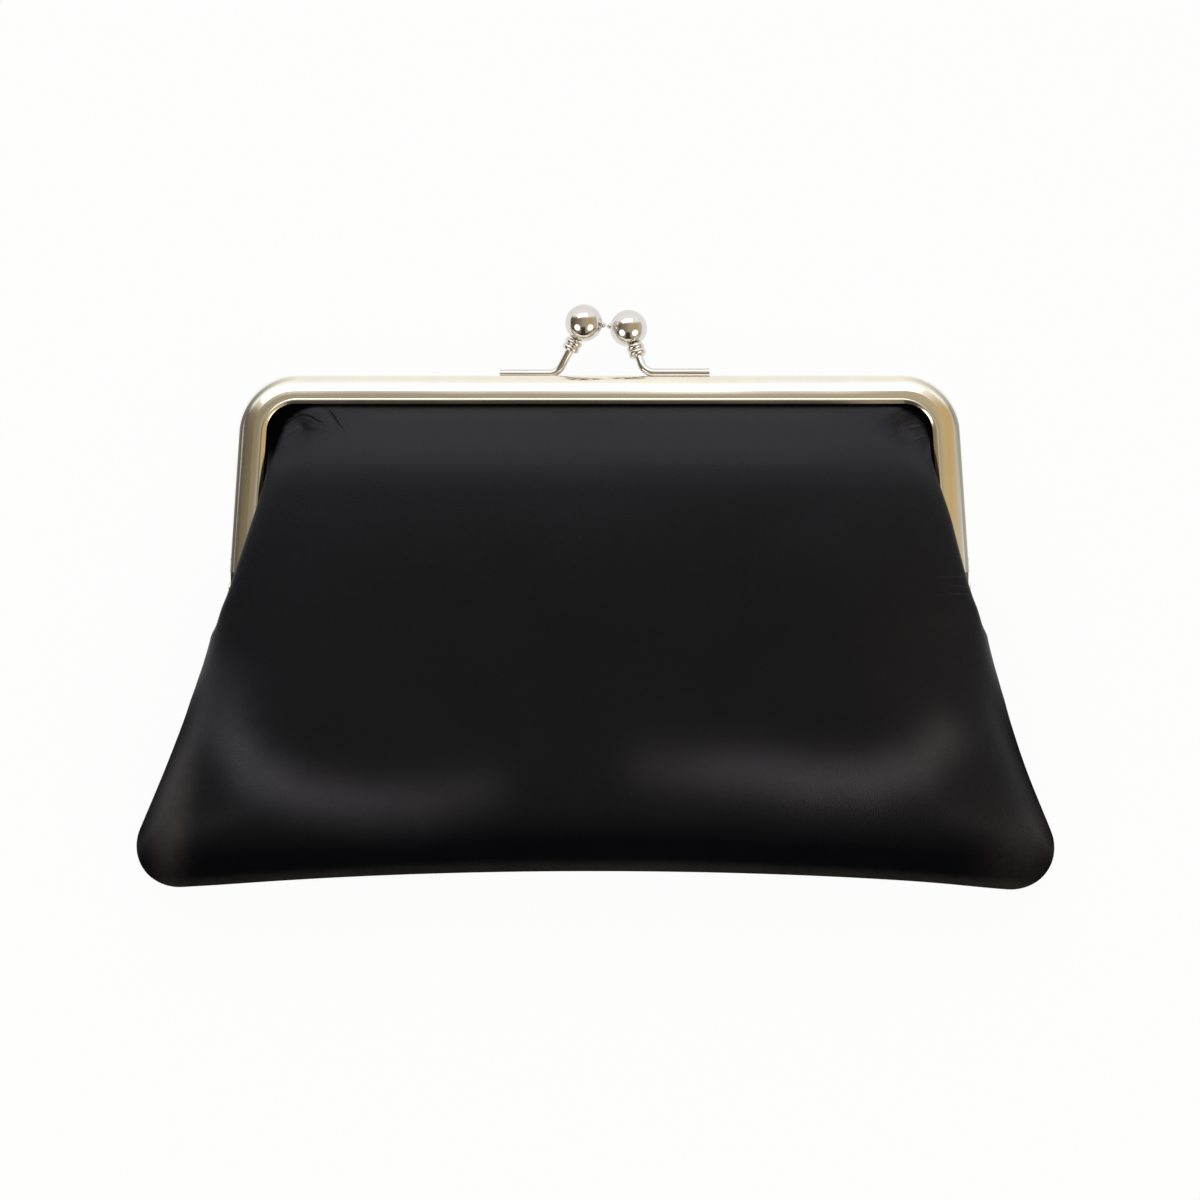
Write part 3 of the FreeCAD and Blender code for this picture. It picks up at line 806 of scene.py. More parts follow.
def store_marks(mesh, form, plan):
    """Stores where the front panel is matte, rubbed (partly wear, partly painted sheen), sunk out of sight
    (with painted shade) and polished (with painted sheen).
    """
    y = plan[:, 1]
    x = plan[:, 0] + form.hung(y)
    from_hem = y - form.hem_y(x, 0.0)
    from_side = form.side_x(y, 0.0) - np.abs(x)
    lower = 1 - smooth(y, *LOWER_SPAN)
    matte = np.maximum(1 - smooth(from_hem, *MATTE_HEM_SPAN), 1 - smooth(from_side, *MATTE_SIDE_SPAN))
    rubbed = np.zeros(len(plan))
    for middle, reach, lean, strength in RUBBED_AND_PAINTED_SHEEN:
        near = bell(x - lean * y - middle[0] * MM, reach[0] * MM) * bell(y - middle[1] * MM, reach[1] * MM)
        rubbed = np.maximum(rubbed, strength * near)
    rubbed += RUBBED_AND_PAINTED_SHEEN_HEM * (1 - smooth(from_hem, *RUBBED_AND_PAINTED_SHEEN_HEM_SPAN)) * lower
    hollow = hollowed(plan)
    polished = TOP_POLISH_AND_PAINTED_SHEEN * smooth(y, *TOP_POLISH_AND_PAINTED_SHEEN_SPAN)
    for course, shares, reach in POLISH_AND_PAINTED_SHEEN:
        signed, place = along_course(plan, course)
        strength = np.interp(place, np.linspace(0, 1, len(shares)), shares)
        polished = np.maximum(polished, strength * bell(signed, reach * MM))
    store(mesh, "matte", lower * matte)
    store(mesh, "rubbed", np.clip(rubbed, 0, 1))
    # The hollow share also marks where painted shade darkens the leather
    store(mesh, "hollow", hollow)
    store(mesh, "polished", polished * (1 - hollow))


# Nodes

SOCKET_KINDS = {tuple: "NodeSocketVector", float: "NodeSocketFloat", int: "NodeSocketInt"}
# A Mix node's sockets for colours: share, first, second, and the result
COLOUR_MIX_SOCKETS = (0, 6, 7)
COLOUR_MIX_OUTPUT = 2
ORIGIN = (0.0, 0.0, 0.0)


def feed(tree, socket, value):
    """Links a node's output to a socket, or sets the socket to a plain value."""
    if hasattr(value, "node"):
        tree.links.new(value, socket)
    else:
        socket.default_value = value


def feed_all(tree, node, values):
    for label, value in values.items():
        feed(tree, node.inputs[label.replace("_", " ")], value)


def add_node(tree, kind, **values):
    node = tree.nodes.new(kind)
    feed_all(tree, node, values)
    return node


def add_inputs(tree, values):
    for label, value in values.items():
        socket = tree.interface.new_socket(label, in_out="INPUT", socket_type=SOCKET_KINDS[type(value)])
        socket.default_value = value


def new_group(name, inputs, outputs):
    tree = bpy.data.node_groups.new(name, "ShaderNodeTree")
    add_inputs(tree, inputs)
    for label in outputs:
        tree.interface.new_socket(label, in_out="OUTPUT", socket_type="NodeSocketFloat")
    return tree, tree.nodes.new("NodeGroupInput").outputs, tree.nodes.new("NodeGroupOutput").inputs


def use_group(tree, group, **values):
    node = tree.nodes.new("ShaderNodeGroup")
    node.node_tree = group
    feed_all(tree, node, values)
    return node.outputs


def math_node(tree, kind, first, second=0.0):
    node = tree.nodes.new("ShaderNodeMath")
    node.operation = kind
    feed(tree, node.inputs[0], first)
    feed(tree, node.inputs[1], second)
    return node.outputs[0]


def plus(tree, first, second):
    return math_node(tree, "ADD", first, second)


def minus(tree, first, second):
    return math_node(tree, "SUBTRACT", first, second)


def times(tree, first, second):
    return math_node(tree, "MULTIPLY", first, second)


def larger(tree, first, second):
    return math_node(tree, "MAXIMUM", first, second)


def vector_math(tree, kind, first, second):
    node = tree.nodes.new("ShaderNodeVectorMath")
    node.operation = kind
    feed(tree, node.inputs[0], first)
    feed(tree, node.inputs["Scale"] if kind == "SCALE" else node.inputs[1], second)
    return node.outputs[0]


def range_node(tree, value, from_low, from_high, to_low=0.0, to_high=1.0):
    return add_node(tree, "ShaderNodeMapRange", Value=value, From_Min=from_low, From_Max=from_high,
                    To_Min=to_low, To_Max=to_high).outputs["Result"]


def soft_range(tree, value, low, high):
    result = range_node(tree, value, low, high)
    result.node.interpolation_type = "SMOOTHSTEP"
    return result


def between(tree, share, low, high):
    return range_node(tree, share, 0.0, 1.0, low, high)


def noise_node(tree, vector, scale, detail, rough):
    return add_node(tree, "ShaderNodeTexNoise", Vector=vector, Scale=scale, Detail=detail,
                    Roughness=rough).outputs["Fac"]


def mix_colour(tree, share, first, second):
    node = tree.nodes.new("ShaderNodeMix")
    node.data_type = "RGBA"
    for number, value in zip(COLOUR_MIX_SOCKETS, (share, first, second)):
        feed(tree, node.inputs[number], value)
    return node.outputs[COLOUR_MIX_OUTPUT]


def mark(tree, name, output="Fac"):
    node = tree.nodes.new("ShaderNodeAttribute")
    node.attribute_name = name
    return node.outputs[output]


def split(tree, vector):
    return add_node(tree, "ShaderNodeSeparateXYZ", Vector=vector).outputs


def bump(tree, shader, height, distance=MM, strength=1.0):
    node = add_node(tree, "ShaderNodeBump", Strength=strength, Distance=distance, Height=height)
    feed(tree, shader["Normal"], node.outputs["Normal"])


def shade(tone, share):
    """A colour made darker or lighter."""
    return [min(1.0, part * share) for part in tone[:3]] + [1.0]


# Shader groups

CELL_EDGE = 0.25
CELL_SHARE = 0.55
BROAD_SHARE = 0.7
SMUDGE_SPAN = (0.3, 0.7)
# The raised lip beside a crease: its place in half widths, how narrow and how high it is
LIP_PLACE = 1.9
LIP_NARROW = 0.8
LIP_SHARE = 0.6
DEEP_CREASE = 0.3
WAVER_SCALE = 22.0
NOISE_MIDDLE = 0.5
# Share of the painted dark reflection on the right leg, against the left
RIGHT_PAINTED_DARK_REFLECTION = 0.72
# From the channel's outside in, in millimetres
SWELL_SPAN = (2.0, 5.6)
RIM_SPAN = (4.9, 5.25)
# Band of the painted dark reflection along the legs' outer edge
PAINTED_DARK_REFLECTION_INNER_SPAN = (1.35, 0.95)
PAINTED_DARK_REFLECTION_OUTER_SPAN = (0.22, 0.30)


def grain_group():
    """Fine pores and cells of smooth leather: a height and a mask."""
    sizes = {"Vector": ORIGIN, "Cell Scale": 2200.0, "Pore Scale": 5200.0}
    tree, given, out = new_group("Leather Grain", sizes, ("Height", "Mask"))
    cells = add_node(tree, "ShaderNodeTexVoronoi", Vector=given["Vector"], Scale=given["Cell Scale"])
    cells.feature = "DISTANCE_TO_EDGE"
    rounded = range_node(tree, cells.outputs["Distance"], 0.0, CELL_EDGE)
    pores = noise_node(tree, given["Vector"], given["Pore Scale"], detail=2.0, rough=0.6)
    height = plus(tree, times(tree, rounded, CELL_SHARE), times(tree, pores, 1 - CELL_SHARE))
    feed(tree, out["Height"], height)
    feed(tree, out["Mask"], rounded)
    return tree


def smudge_group():
    """Slow uneven patches, as of handling or polish: a share from 0 to 1."""
    name = "Handling Smudge"
    if name in bpy.data.node_groups:
        return bpy.data.node_groups[name]
    tree, given, out = new_group(name, {"Vector": ORIGIN, "Scale": 60.0, "Fine Scale": 900.0}, ("Share",))
    broad = noise_node(tree, given["Vector"], given["Scale"], detail=4.0, rough=0.55)
    fine = noise_node(tree, given["Vector"], given["Fine Scale"], detail=3.0, rough=0.6)
    mixed = plus(tree, times(tree, broad, BROAD_SHARE), times(tree, fine, 1 - BROAD_SHARE))
    feed(tree, out["Share"], range_node(tree, mixed, *SMUDGE_SPAN))
    return tree


def crease_group():
    """One crease from its distance in half widths and its depth: a height in millimetres and a mask of
    painted shade in its valley.
    """
    tree, given, out = new_group("Leather Crease", {"Ratio": FAR_RATIO, "Depth": 0.0}, ("Height", "Mask"))

    def hump(value):
        return math_node(tree, "EXPONENT", times(tree, times(tree, value, value), -1.0))
    valley = hump(given["Ratio"])
    lip = hump(times(tree, minus(tree, given["Ratio"], LIP_PLACE), LIP_NARROW))
    shape = minus(tree, times(tree, lip, LIP_SHARE), valley)
    feed(tree, out["Height"], times(tree, shape, given["Depth"]))
    feed(tree, out["Mask"], times(tree, valley, range_node(tree, given["Depth"], 0.0, DEEP_CREASE)))
    return tree


def channel_group(form):
    """Crown of the pressed channel: a height in millimetres and a mask for a painted dark reflection along
    its legs' outer edge, stronger on the left leg.
    """
    sizes = {"Vector": ORIGIN, "Rise": 0.7, "Waver": 0.3, "Rim": 0.16}
    tree, given, out = new_group("Channel Crown", sizes, ("Height", "Edge"))
    x, y, _ = split(tree, given["Vector"])
    leg = plus(tree, math_node(tree, "ABSOLUTE", x), times(tree, y, math.tan(form.lean)))
    leg = minus(tree, leg, form.half_width + HINGE.y * math.tan(form.lean) - form.corner)
    in_leg = larger(tree, leg, 0.0)
    in_rail = larger(tree, minus(tree, y, form.corner_y), 0.0)
    reach = math_node(tree, "SQRT", plus(tree, times(tree, in_leg, in_leg), times(tree, in_rail, in_rail)))
    inside = times(tree, minus(tree, form.corner, reach), 1 / MM)
    swell = times(tree, soft_range(tree, inside, *SWELL_SPAN), given["Rise"])
    rim = times(tree, soft_range(tree, inside, *RIM_SPAN), given["Rim"])
    uneven = noise_node(tree, given["Vector"], WAVER_SCALE, detail=1.0, rough=0.4)
    uneven = minus(tree, uneven, NOISE_MIDDLE)
    uneven = times(tree, times(tree, uneven, given["Waver"]), inside)
    feed(tree, out["Height"], plus(tree, plus(tree, swell, rim), uneven))
    # Painted dark reflection: a narrow band along the legs' outer edge, full on the left leg and weaker on
    # the right
    edge = times(tree, range_node(tree, inside, *PAINTED_DARK_REFLECTION_INNER_SPAN),
                 range_node(tree, inside, *PAINTED_DARK_REFLECTION_OUTER_SPAN))
    edge = times(tree, edge, math_node(tree, "DIVIDE", in_leg, reach))
    sides = range_node(tree, x, -form.corner, form.corner, 1.0, RIGHT_PAINTED_DARK_REFLECTION)
    feed(tree, out["Edge"], times(tree, edge, sides))
    return tree


# Materials

LEATHER_NAME = "Black Smooth Leather"
LEATHER_ROUGH = (0.36, 0.42)
LEATHER_PORE_ROUGH = 0.06
LEATHER_DULL_ROUGH = 0.25
# Height of the grain in millimetres
GRAIN_HEIGHT = 0.045
LEATHER_MOTTLE = 1.5
# Painted shade in creases and hollows, as a share of the leather colour
LEATHER_PAINTED_SHADE = 0.4
# Least share of the lighter rubbed tone, partly wear and partly painted sheen
RUBBED_AND_PAINTED_SHEEN_LEAST = 0.35
GOLD_ROUGH = (0.10, 0.20)
NICKEL_ROUGH = (0.06, 0.14)
PLATE_MOTTLE = 0.9
# Height of the plate's unevenness in millimetres
PLATE_HEIGHT = 0.0015
# Darkness of the painted dark reflection, as a share of the plate colour
PAINTED_DARK_REFLECTION = 0.1
TWILL_ROUGH = (0.72, 0.88)
TWILL_TURN = math.radians(58)
TWILL_LIGHT = 1.8
TWILL_HEIGHT = 0.08 * MM
PAPER_ROUGH = (0.80, 0.95)
PAPER_MOTTLE = 0.7


def new_material(name):
    """A material, its tree and the sockets of its shader."""
    material = bpy.data.materials.new(name)
    material.use_nodes = True
    tree = material.node_tree
    return material, tree, tree.nodes["Principled BSDF"].inputs


def object_place(tree):
    return tree.nodes.new("ShaderNodeTexCoord").outputs["Object"]


def handled(tree, place, scale, fine_scale):
    return use_group(tree, smudge_group(), Vector=place, Scale=scale, Fine_Scale=fine_scale)["Share"]


def leather_material(settings):
    """Smooth black leather: polished where it is full, with a painted sheen there, matte towards the seams,
    warm and lighter where it is rubbed (partly wear, partly painted sheen), with painted shade in its creases
    and hollows.
    """
    material, tree, shader = new_material(LEATHER_NAME)
    place = mark(tree, "rest", "Vector")
    grain = use_group(tree, grain_group(), Vector=place)
    smudge = handled(tree, place, scale=45.0, fine_scale=700.0)
    matte, sunk, polished = [mark(tree, name) for name in ("matte", "hollow", "polished")]
    height = times(tree, grain["Height"], GRAIN_HEIGHT)
    # Painted shade: in the hollows behind the frame's upper corners and in the crease valleys
    painted_shade_mask = sunk
    crease = crease_group()
    for layer in range(LAYERS):
        fold = use_group(tree, crease, Ratio=mark(tree, f"fold_{layer}"),
                         Depth=mark(tree, f"fold_{layer}_depth"))
        height = plus(tree, height, fold["Height"])
        painted_shade_mask = larger(tree, painted_shade_mask, fold["Mask"])
    bump(tree, shader, height)
    base = mix_colour(tree, smudge, settings.black, shade(settings.black, LEATHER_MOTTLE))
    # Painted shade: darker in the creases and in the hollows behind the frame's upper corners
    base = mix_colour(tree, painted_shade_mask, base, shade(settings.black, LEATHER_PAINTED_SHADE))
    # Painted sheen: the lighter, cool tone on the polished highlight patches
    base = mix_colour(tree, polished, base, settings.bloom)
    # Lighter at the lower corners and along the hem: partly wear, partly painted sheen
    rubbed = times(tree, mark(tree, "rubbed"), between(tree, smudge, RUBBED_AND_PAINTED_SHEEN_LEAST, 1.0))
    feed(tree, shader["Base Color"], mix_colour(tree, rubbed, base, settings.worn))
    rough = plus(tree, between(tree, smudge, *LEATHER_ROUGH),
                 between(tree, grain["Mask"], LEATHER_PORE_ROUGH, 0.0))
    dull = times(tree, larger(tree, matte, painted_shade_mask), LEATHER_DULL_ROUGH)
    feed(tree, shader["Roughness"], plus(tree, rough, dull))
    gloss = between(tree, larger(tree, matte, sunk), settings.gloss, 0.0)
    # The socket also keeps the plain gloss as its own value, under the link. The plain
    # level is for an export that drops the linked one
    shader["Specular IOR Level"].default_value = settings.gloss
    feed(tree, shader["Specular IOR Level"], plus(tree, gloss, times(tree, polished, settings.polish)))
    shader["Specular Tint"].default_value = settings.sheen
    return material


def black_leather(scene):
    return bpy.data.materials.get(LEATHER_NAME) or leather_material(scene.purse_leather)


def plate_material(name, tint, rough, channel_form=None):
    """Plated metal, slightly uneven. On the channel it also has the crown and a painted dark reflection along
    the legs' outer edge.
    """
    material, tree, shader = new_material(name)
    place = object_place(tree)
    smudge = handled(tree, place, scale=110.0, fine_scale=2600.0)
    base = mix_colour(tree, smudge, tint, shade(tint, PLATE_MOTTLE))
    height = times(tree, smudge, PLATE_HEIGHT)
    if channel_form:
        channel = use_group(tree, channel_group(channel_form), Vector=place)
        height = plus(tree, height, channel["Height"])
        # Painted dark reflection along the legs' outer edge
        base = mix_colour(tree, channel["Edge"], base, shade(tint, PAINTED_DARK_REFLECTION))
    feed(tree, shader["Base Color"], base)
    feed(tree, shader["Roughness"], between(tree, smudge, *rough))
    shader["Metallic"].default_value = 1.0
    bump(tree, shader, height)
    return material


def twill_material(settings):
    """Dark lining cloth with slanted wales."""
    material, tree, shader = new_material("Lining Twill")
    place = object_place(tree)
    turn = add_node(tree, "ShaderNodeMapping", Vector=place, Rotation=(0.0, 0.0, TWILL_TURN))
    wave = add_node(tree, "ShaderNodeTexWave", Vector=turn.outputs["Vector"], Scale=520.0, Distortion=0.6)
    wale = wave.outputs["Fac"]
    base = mix_colour(tree, wale, settings.cloth, shade(settings.cloth, TWILL_LIGHT))
    feed(tree, shader["Base Color"], base)
    smudge = handled(tree, place, scale=70.0, fine_scale=1500.0)
    feed(tree, shader["Roughness"], between(tree, smudge, *TWILL_ROUGH))
    bump(tree, shader, wale, TWILL_HEIGHT, strength=0.35)
    return material


def paper_material(settings):
    """Brown twisted paper."""
    material, tree, shader = new_material("Twisted Paper")
    smudge = handled(tree, object_place(tree), scale=300.0, fine_scale=3000.0)
    base = mix_colour(tree, smudge, settings.paper, shade(settings.paper, PAPER_MOTTLE))
    feed(tree, shader["Base Color"], base)
    feed(tree, shader["Roughness"], between(tree, smudge, *PAPER_ROUGH))
    return material


# Leather, lining, metal and paper cord

LINING_GAP = 0.15 * MM
CORD_FOOT = 8.6 * MM
CORD_DEPTH = 1.337 * MM
CORD_STEP = 0.4 * MM


def bend_at_hinge(piece):
    """Bakes a front sheet's place into its mesh."""
    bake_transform(piece)


class PURSE_OT_front_leather(Operator):
    """Makes the front leather panel"""

    bl_idname = "purse.front_leather"
    bl_label = "Front Leather"

    def execute(self, context):
        form = PouchForm(context.scene)
        mesh = front_mesh("front_leather", form, 0.0)
        piece = relaxed(add_piece("front_leather", mesh, black_leather(context.scene)))
        sculpted(piece.data, form)
        store_rest(piece.data)
        thicken(piece, form.leather)
        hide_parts("front_panel_upper", "front_panel_fold", "front_panel_lower")
        bend_at_hinge(piece)
        return {"FINISHED"}


class PURSE_OT_rear_leather(Operator):
    """Makes the rear leather panel, on which the purse lies"""

    bl_idname = "purse.rear_leather"
    bl_label = "Rear Leather"

    def execute(self, context):
        form = PouchForm(context.scene)
        mesh = rear_mesh("rear_leather", form, 0.0)
        piece = add_piece("rear_leather", mesh, black_leather(context.scene))
        store_rest(mesh)
        thicken(piece, form.leather)
        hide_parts("rear_panel")
        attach(piece, REAR_BODY)
        return {"FINISHED"}


class PURSE_OT_lining(Operator):
    """Makes the lining of both sides"""

    bl_idname = "purse.lining"
    bl_label = "Lining"

    def execute(self, context):
        form = PouchForm(context.scene)
        twill = twill_material(context.scene.purse_leather)
        inset = form.leather + LINING_GAP
        front = add_piece("front_lining", front_mesh("front_lining", form, inset), twill)
        relaxed(front)
        thicken(front, form.lining)
        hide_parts("front_lining_upper", "front_lining_fold", "front_lining_lower")
        bend_at_hinge(front)
        rear = add_piece("rear_lining_cloth", rear_mesh("rear_lining_cloth", form, inset), twill)
        thicken(rear, form.lining)
        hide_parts("rear_lining")
        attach(rear, REAR_BODY)
        return {"FINISHED"}


class PURSE_OT_metal(Operator):
    """Gives the frame, the rivets and the lock their plated finish"""

    bl_idname = "purse.metal"
    bl_label = "Plated Metal"

    def execute(self, context):
        metal = context.scene.purse_frame
        finishes = {
            "frame": plate_material("Pale Gold Plate", metal.gold, GOLD_ROUGH, PouchForm(context.scene)),
            "rivet": plate_material("Rivet Plate", metal.gold, GOLD_ROUGH),
            "lock": plate_material("Nickel Plate", metal.nickel, NICKEL_ROUGH),
        }
        for name, node in frame["nodes"].items():
            for word, finish in finishes.items():
                if word in name:
                    node.data.materials.clear()
                    node.data.materials.append(finish)
        return {"FINISHED"}


def twist_tree(material):
    """Geometry nodes that lay twisted strands along a path."""
    tree = bpy.data.node_groups.new("Twisted Cord", "GeometryNodeTree")
    tree.interface.new_socket("Geometry", in_out="INPUT", socket_type="NodeSocketGeometry")
    add_inputs(tree, {"Strands": 3, "Lay Radius": 0.22 * MM, "Strand Radius": 0.24 * MM, "Twist": 1500.0,
                      "Sides": 8})
    tree.interface.new_socket("Geometry", in_out="OUTPUT", socket_type="NodeSocketGeometry")
    given = tree.nodes.new("NodeGroupInput").outputs
    curve = add_node(tree, "GeometryNodeMeshToCurve", Mesh=given["Geometry"]).outputs["Curve"]
    copies = add_node(tree, "GeometryNodeDuplicateElements", Geometry=curve, Amount=given["Strands"])
    copies.domain = "SPLINE"
    along = add_node(tree, "GeometryNodeSplineParameter").outputs["Length"]
    tangent = add_node(tree, "GeometryNodeInputTangent").outputs["Tangent"]
    part = math_node(tree, "DIVIDE", copies.outputs["Duplicate Index"], given["Strands"])
    phase = plus(tree, times(tree, along, given["Twist"]), times(tree, part, math.tau))
    aside = vector_math(tree, "CROSS_PRODUCT", tangent, (0.0, 0.0, 1.0))
    across = vector_math(tree, "SCALE", aside, math_node(tree, "COSINE", phase))
    upward = add_node(tree, "ShaderNodeCombineXYZ", Z=math_node(tree, "SINE", phase)).outputs[0]
    offset = vector_math(tree, "SCALE", vector_math(tree, "ADD", across, upward), given["Lay Radius"])
    moved = add_node(tree, "GeometryNodeSetPosition", Geometry=copies.outputs["Geometry"], Offset=offset)
    ring = add_node(tree, "GeometryNodeCurvePrimitiveCircle", Resolution=given["Sides"],
                    Radius=given["Strand Radius"])
    strands = add_node(tree, "GeometryNodeCurveToMesh", Curve=moved.outputs["Geometry"],
                       Profile_Curve=ring.outputs["Curve"], Fill_Caps=True)
    plain = add_node(tree, "GeometryNodeRealizeInstances", Geometry=strands.outputs["Mesh"])
    finish = add_node(tree, "GeometryNodeSetMaterial", Geometry=plain.outputs["Geometry"], Material=material)
    add_node(tree, "NodeGroupOutput", Geometry=finish.outputs["Geometry"])
    return tree


class PURSE_OT_paper(Operator):
    """Lays the twisted paper cords in the channels"""

    bl_idname = "purse.paper"
    bl_label = "Paper Cord"

    def execute(self, context):
        form = PouchForm(context.scene)
        paper = paper_material(context.scene.purse_leather)
        tree = twist_tree(paper)
        sockets = {item.name: item.identifier for item in tree.interface.items_tree if item.in_out == "INPUT"}
        sizes = {"Lay Radius": form.cord_lay, "Strand Radius": form.cord_strand,
                 "Twist": math.tau / form.cord_pitch}
        for name, way, body in (("front", 1, FRONT_BODY), ("rear", -1, REAR_BODY)):
            level = HINGE.z + way * (form.parting / 2 + CORD_DEPTH)
            path = channel_path(form, CORD_DEPTH, level, HINGE.y + CORD_FOOT, CORD_STEP)
            mesh = bpy.data.meshes.new(name + "_cord")
            mesh.from_pydata(path.tolist(), [(i, i + 1) for i in range(len(path) - 1)], [])
            piece = add_piece(name + "_cord", mesh, paper)
            cord = piece.modifiers.new("Twist", "NODES")
            cord.node_group = tree
            for label, size in sizes.items():
                cord[sockets[label]] = size
            baked(piece)
            piece.data.shade_smooth()
            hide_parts(name + "_paper_cord")
            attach(piece, body)
        return {"FINISHED"}


# Stage

FLOOR_HALF = 3.0
FLOOR_DROP = 0.2 * MM
FLOOR_GLOW = 0.96
LAMPS = (
    # name, place and size in metres, power in watts: one beyond the lock, two before the lower corners
    ("top_lamp", (-0.15, 0.80, 0.75), (1.2, 0.5), 1.9),
    ("left_lamp", (-0.58, -0.40, 0.55), (0.60, 0.60), 1.4),
    ("right_lamp", (0.58, -0.40, 0.55), (0.60, 0.60), 1.3),
)
LAMP_AIM = Vector((0.0, 0.0, 0.01))
ROOM = (
    # across the room from left to right: place from 0 to 1, colour
    (0.03, (0.13, 0.105, 0.08)),
    (0.20, (0.26, 0.22, 0.15)),
    (0.36, (0.31, 0.265, 0.195)),
    (0.50, (0.42, 0.385, 0.33)),
    (0.60, (0.47, 0.40, 0.30)),
    (0.70, (0.56, 0.43, 0.24)),
    (0.87, (0.56, 0.40, 0.19)),
    (0.98, (0.58, 0.52, 0.44)),
)
WALL = (1.05, 1.05, 1.05, 1.0)
WALL_SPAN = (0.40, 0.58)
FIGURE = (0.02, 0.018, 0.018, 1.0)
FIGURE_ASIDE = 0.06
FIGURE_SPAN = (0.17, 0.27)
FIGURE_LOW_SPAN = (-0.56, -0.42)
FIGURE_SHARE = 0.92
SENSOR_WIDTH = 36.0


class PURSE_OT_stage(Operator):
    """Sets up the floor, the soft light and the camera above the purse"""

    bl_idname = "purse.stage"
    bl_label = "Stage"

    def execute(self, context):
        stage = context.scene.purse_stage
        make_floor(stage)
        make_lights()
        make_world(context.scene)
        make_camera(context.scene, stage)
        context.scene.view_settings.view_transform = "Standard"
        return {"FINISHED"}


def seen_directly(tree):
    """Share that is 1 for rays from the camera, or from metal and glass."""
    path = tree.nodes.new("ShaderNodeLightPath").outputs
    first = larger(tree, path["Is Camera Ray"], path["Is Glossy Ray"])
    return larger(tree, first, path["Is Transmission Ray"])


def make_floor(stage):
    mesh = bpy.data.meshes.new("floor")
    corners = [(x * FLOOR_HALF, y * FLOOR_HALF, 0) for x, y in ((-1, -1), (1, -1), (1, 1), (-1, 1))]
    mesh.from_pydata(corners, [], [(0, 1, 2, 3)])
    floor = bpy.data.objects.new("floor", mesh)
    bpy.context.scene.collection.objects.link(floor)
    floor.location.z = -FLOOR_DROP
    material = bpy.data.materials.new("Pale Floor")
    material.use_nodes = True
    tree = material.node_tree
    tree.nodes.remove(tree.nodes["Principled BSDF"])
    matte = add_node(tree, "ShaderNodeBsdfDiffuse", Color=stage.floor)
    glow = tree.nodes.new("ShaderNodeEmission")
    mix = tree.nodes.new("ShaderNodeMixShader")
    shown = times(tree, seen_directly(tree), FLOOR_GLOW)
    for socket, value in zip(mix.inputs, (shown, matte.outputs[0], glow.outputs[0])):
        feed(tree, socket, value)
    feed(tree, tree.nodes["Material Output"].inputs["Surface"], mix.outputs[0])
    mesh.materials.append(material)


def make_lights():
    """A broad lamp beyond the lock and two small ones before the lower corners."""
    for name, place, size, power in LAMPS:
        data = bpy.data.lights.new(name, "AREA")
        data.shape = "RECTANGLE" if size[0] != size[1] else "DISK"
        data.size, data.size_y = size
        data.energy = power
        lamp = bpy.data.objects.new(name, data)
        lamp.location = place
        lamp.rotation_euler = (LAMP_AIM - Vector(place)).to_track_quat("-Z", "Y").to_euler()
        bpy.context.scene.collection.objects.link(lamp)


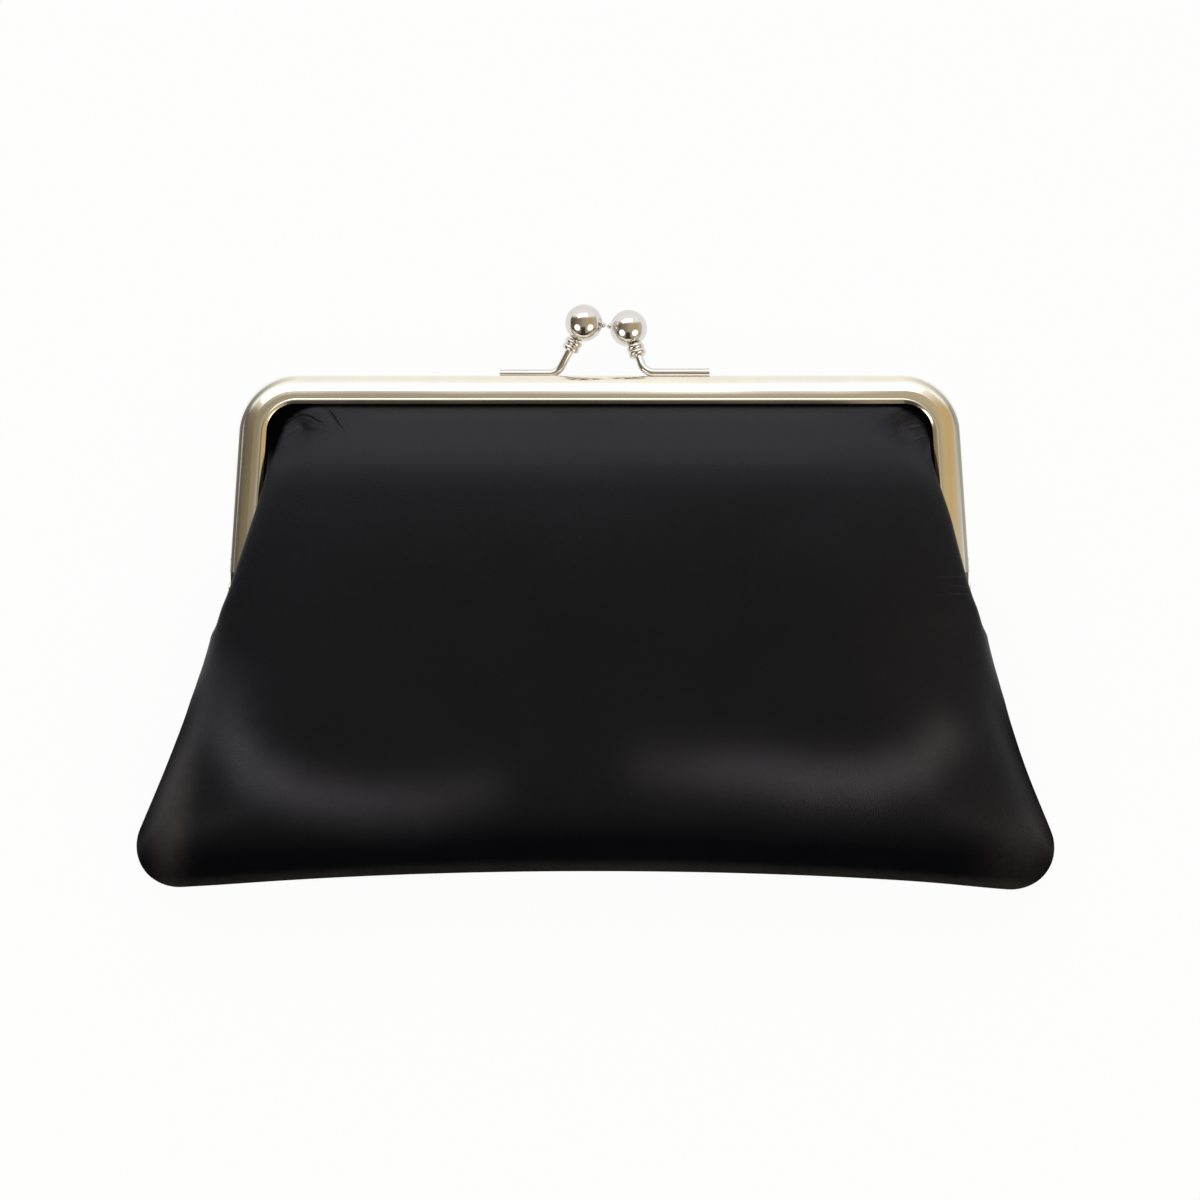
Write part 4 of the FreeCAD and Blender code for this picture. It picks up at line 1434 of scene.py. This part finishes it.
def make_world(scene):
    """A studio room: dark to the left, warm to the right, a white wall beyond the lock, a dark figure."""
    world = bpy.data.worlds.new("Studio")
    scene.world = world
    world.use_nodes = True
    tree = world.node_tree
    x, y, _ = split(tree, tree.nodes.new("ShaderNodeTexCoord").outputs["Generated"])
    room = add_node(tree, "ShaderNodeValToRGB", Fac=range_node(tree, x, -1.0, 1.0))
    stops = room.color_ramp.elements
    while len(stops) < len(ROOM):
        stops.new(0.5)
    for stop, (where, tone) in zip(stops, ROOM):
        stop.position = where
        stop.color = tone + (1.0,)
    walls = mix_colour(tree, range_node(tree, y, *WALL_SPAN), room.outputs["Color"], WALL)
    aside = math_node(tree, "ABSOLUTE", plus(tree, x, FIGURE_ASIDE))
    figure = times(tree, range_node(tree, aside, *FIGURE_SPAN, FIGURE_SHARE, 0.0),
                   range_node(tree, y, *FIGURE_LOW_SPAN, 1.0, 0.0))
    feed(tree, tree.nodes["Background"].inputs["Color"], mix_colour(tree, figure, walls, FIGURE))
    tree.nodes["Background"].inputs["Strength"].default_value = 1.0


def make_camera(scene, stage):
    data = bpy.data.cameras.new("camera")
    camera = bpy.data.objects.new("camera", data)
    scene.collection.objects.link(camera)
    data.sensor_fit = "HORIZONTAL"
    data.sensor_width = SENSOR_WIDTH
    data.lens = SENSOR_WIDTH * stage.distance / (stage.frame_pixels * stage.pixel)
    data.clip_start, data.clip_end = 0.01, 20.0
    camera.location = (stage.centre_x, stage.centre_y, HINGE.z + stage.distance)
    scene.camera = camera


# Panel and registration

class PURSE_PT_sidebar(Panel):
    """Lists the steps that dress the purse"""

    bl_idname = "PURSE_PT_sidebar"
    bl_label = "Kiss Lock Purse"
    bl_space_type = "VIEW_3D"
    bl_region_type = "UI"
    bl_category = "Purse"

    def draw(self, context):
        for operator in OPERATORS:
            self.layout.operator(operator.bl_idname)


SETTINGS = {"purse_frame": PurseFrameSettings, "purse_leather": PurseLeatherSettings,
            "purse_stage": PurseStageSettings}
OPERATORS = (PURSE_OT_metal, PURSE_OT_front_leather, PURSE_OT_rear_leather, PURSE_OT_lining, PURSE_OT_paper,
             PURSE_OT_stage)
CLASSES = (*SETTINGS.values(), *OPERATORS, PURSE_PT_sidebar)


def register():
    for item in CLASSES:
        bpy.utils.register_class(item)
    for name, group in SETTINGS.items():
        setattr(bpy.types.Scene, name, PointerProperty(type=group))


def unregister():
    for name in SETTINGS:
        delattr(bpy.types.Scene, name)
    for item in reversed(CLASSES):
        bpy.utils.unregister_class(item)


def main():
    register()
    for operator in OPERATORS:
        group, name = operator.bl_idname.split(".")
        getattr(getattr(bpy.ops, group), name)()


if __name__ == "__main__":
    main()
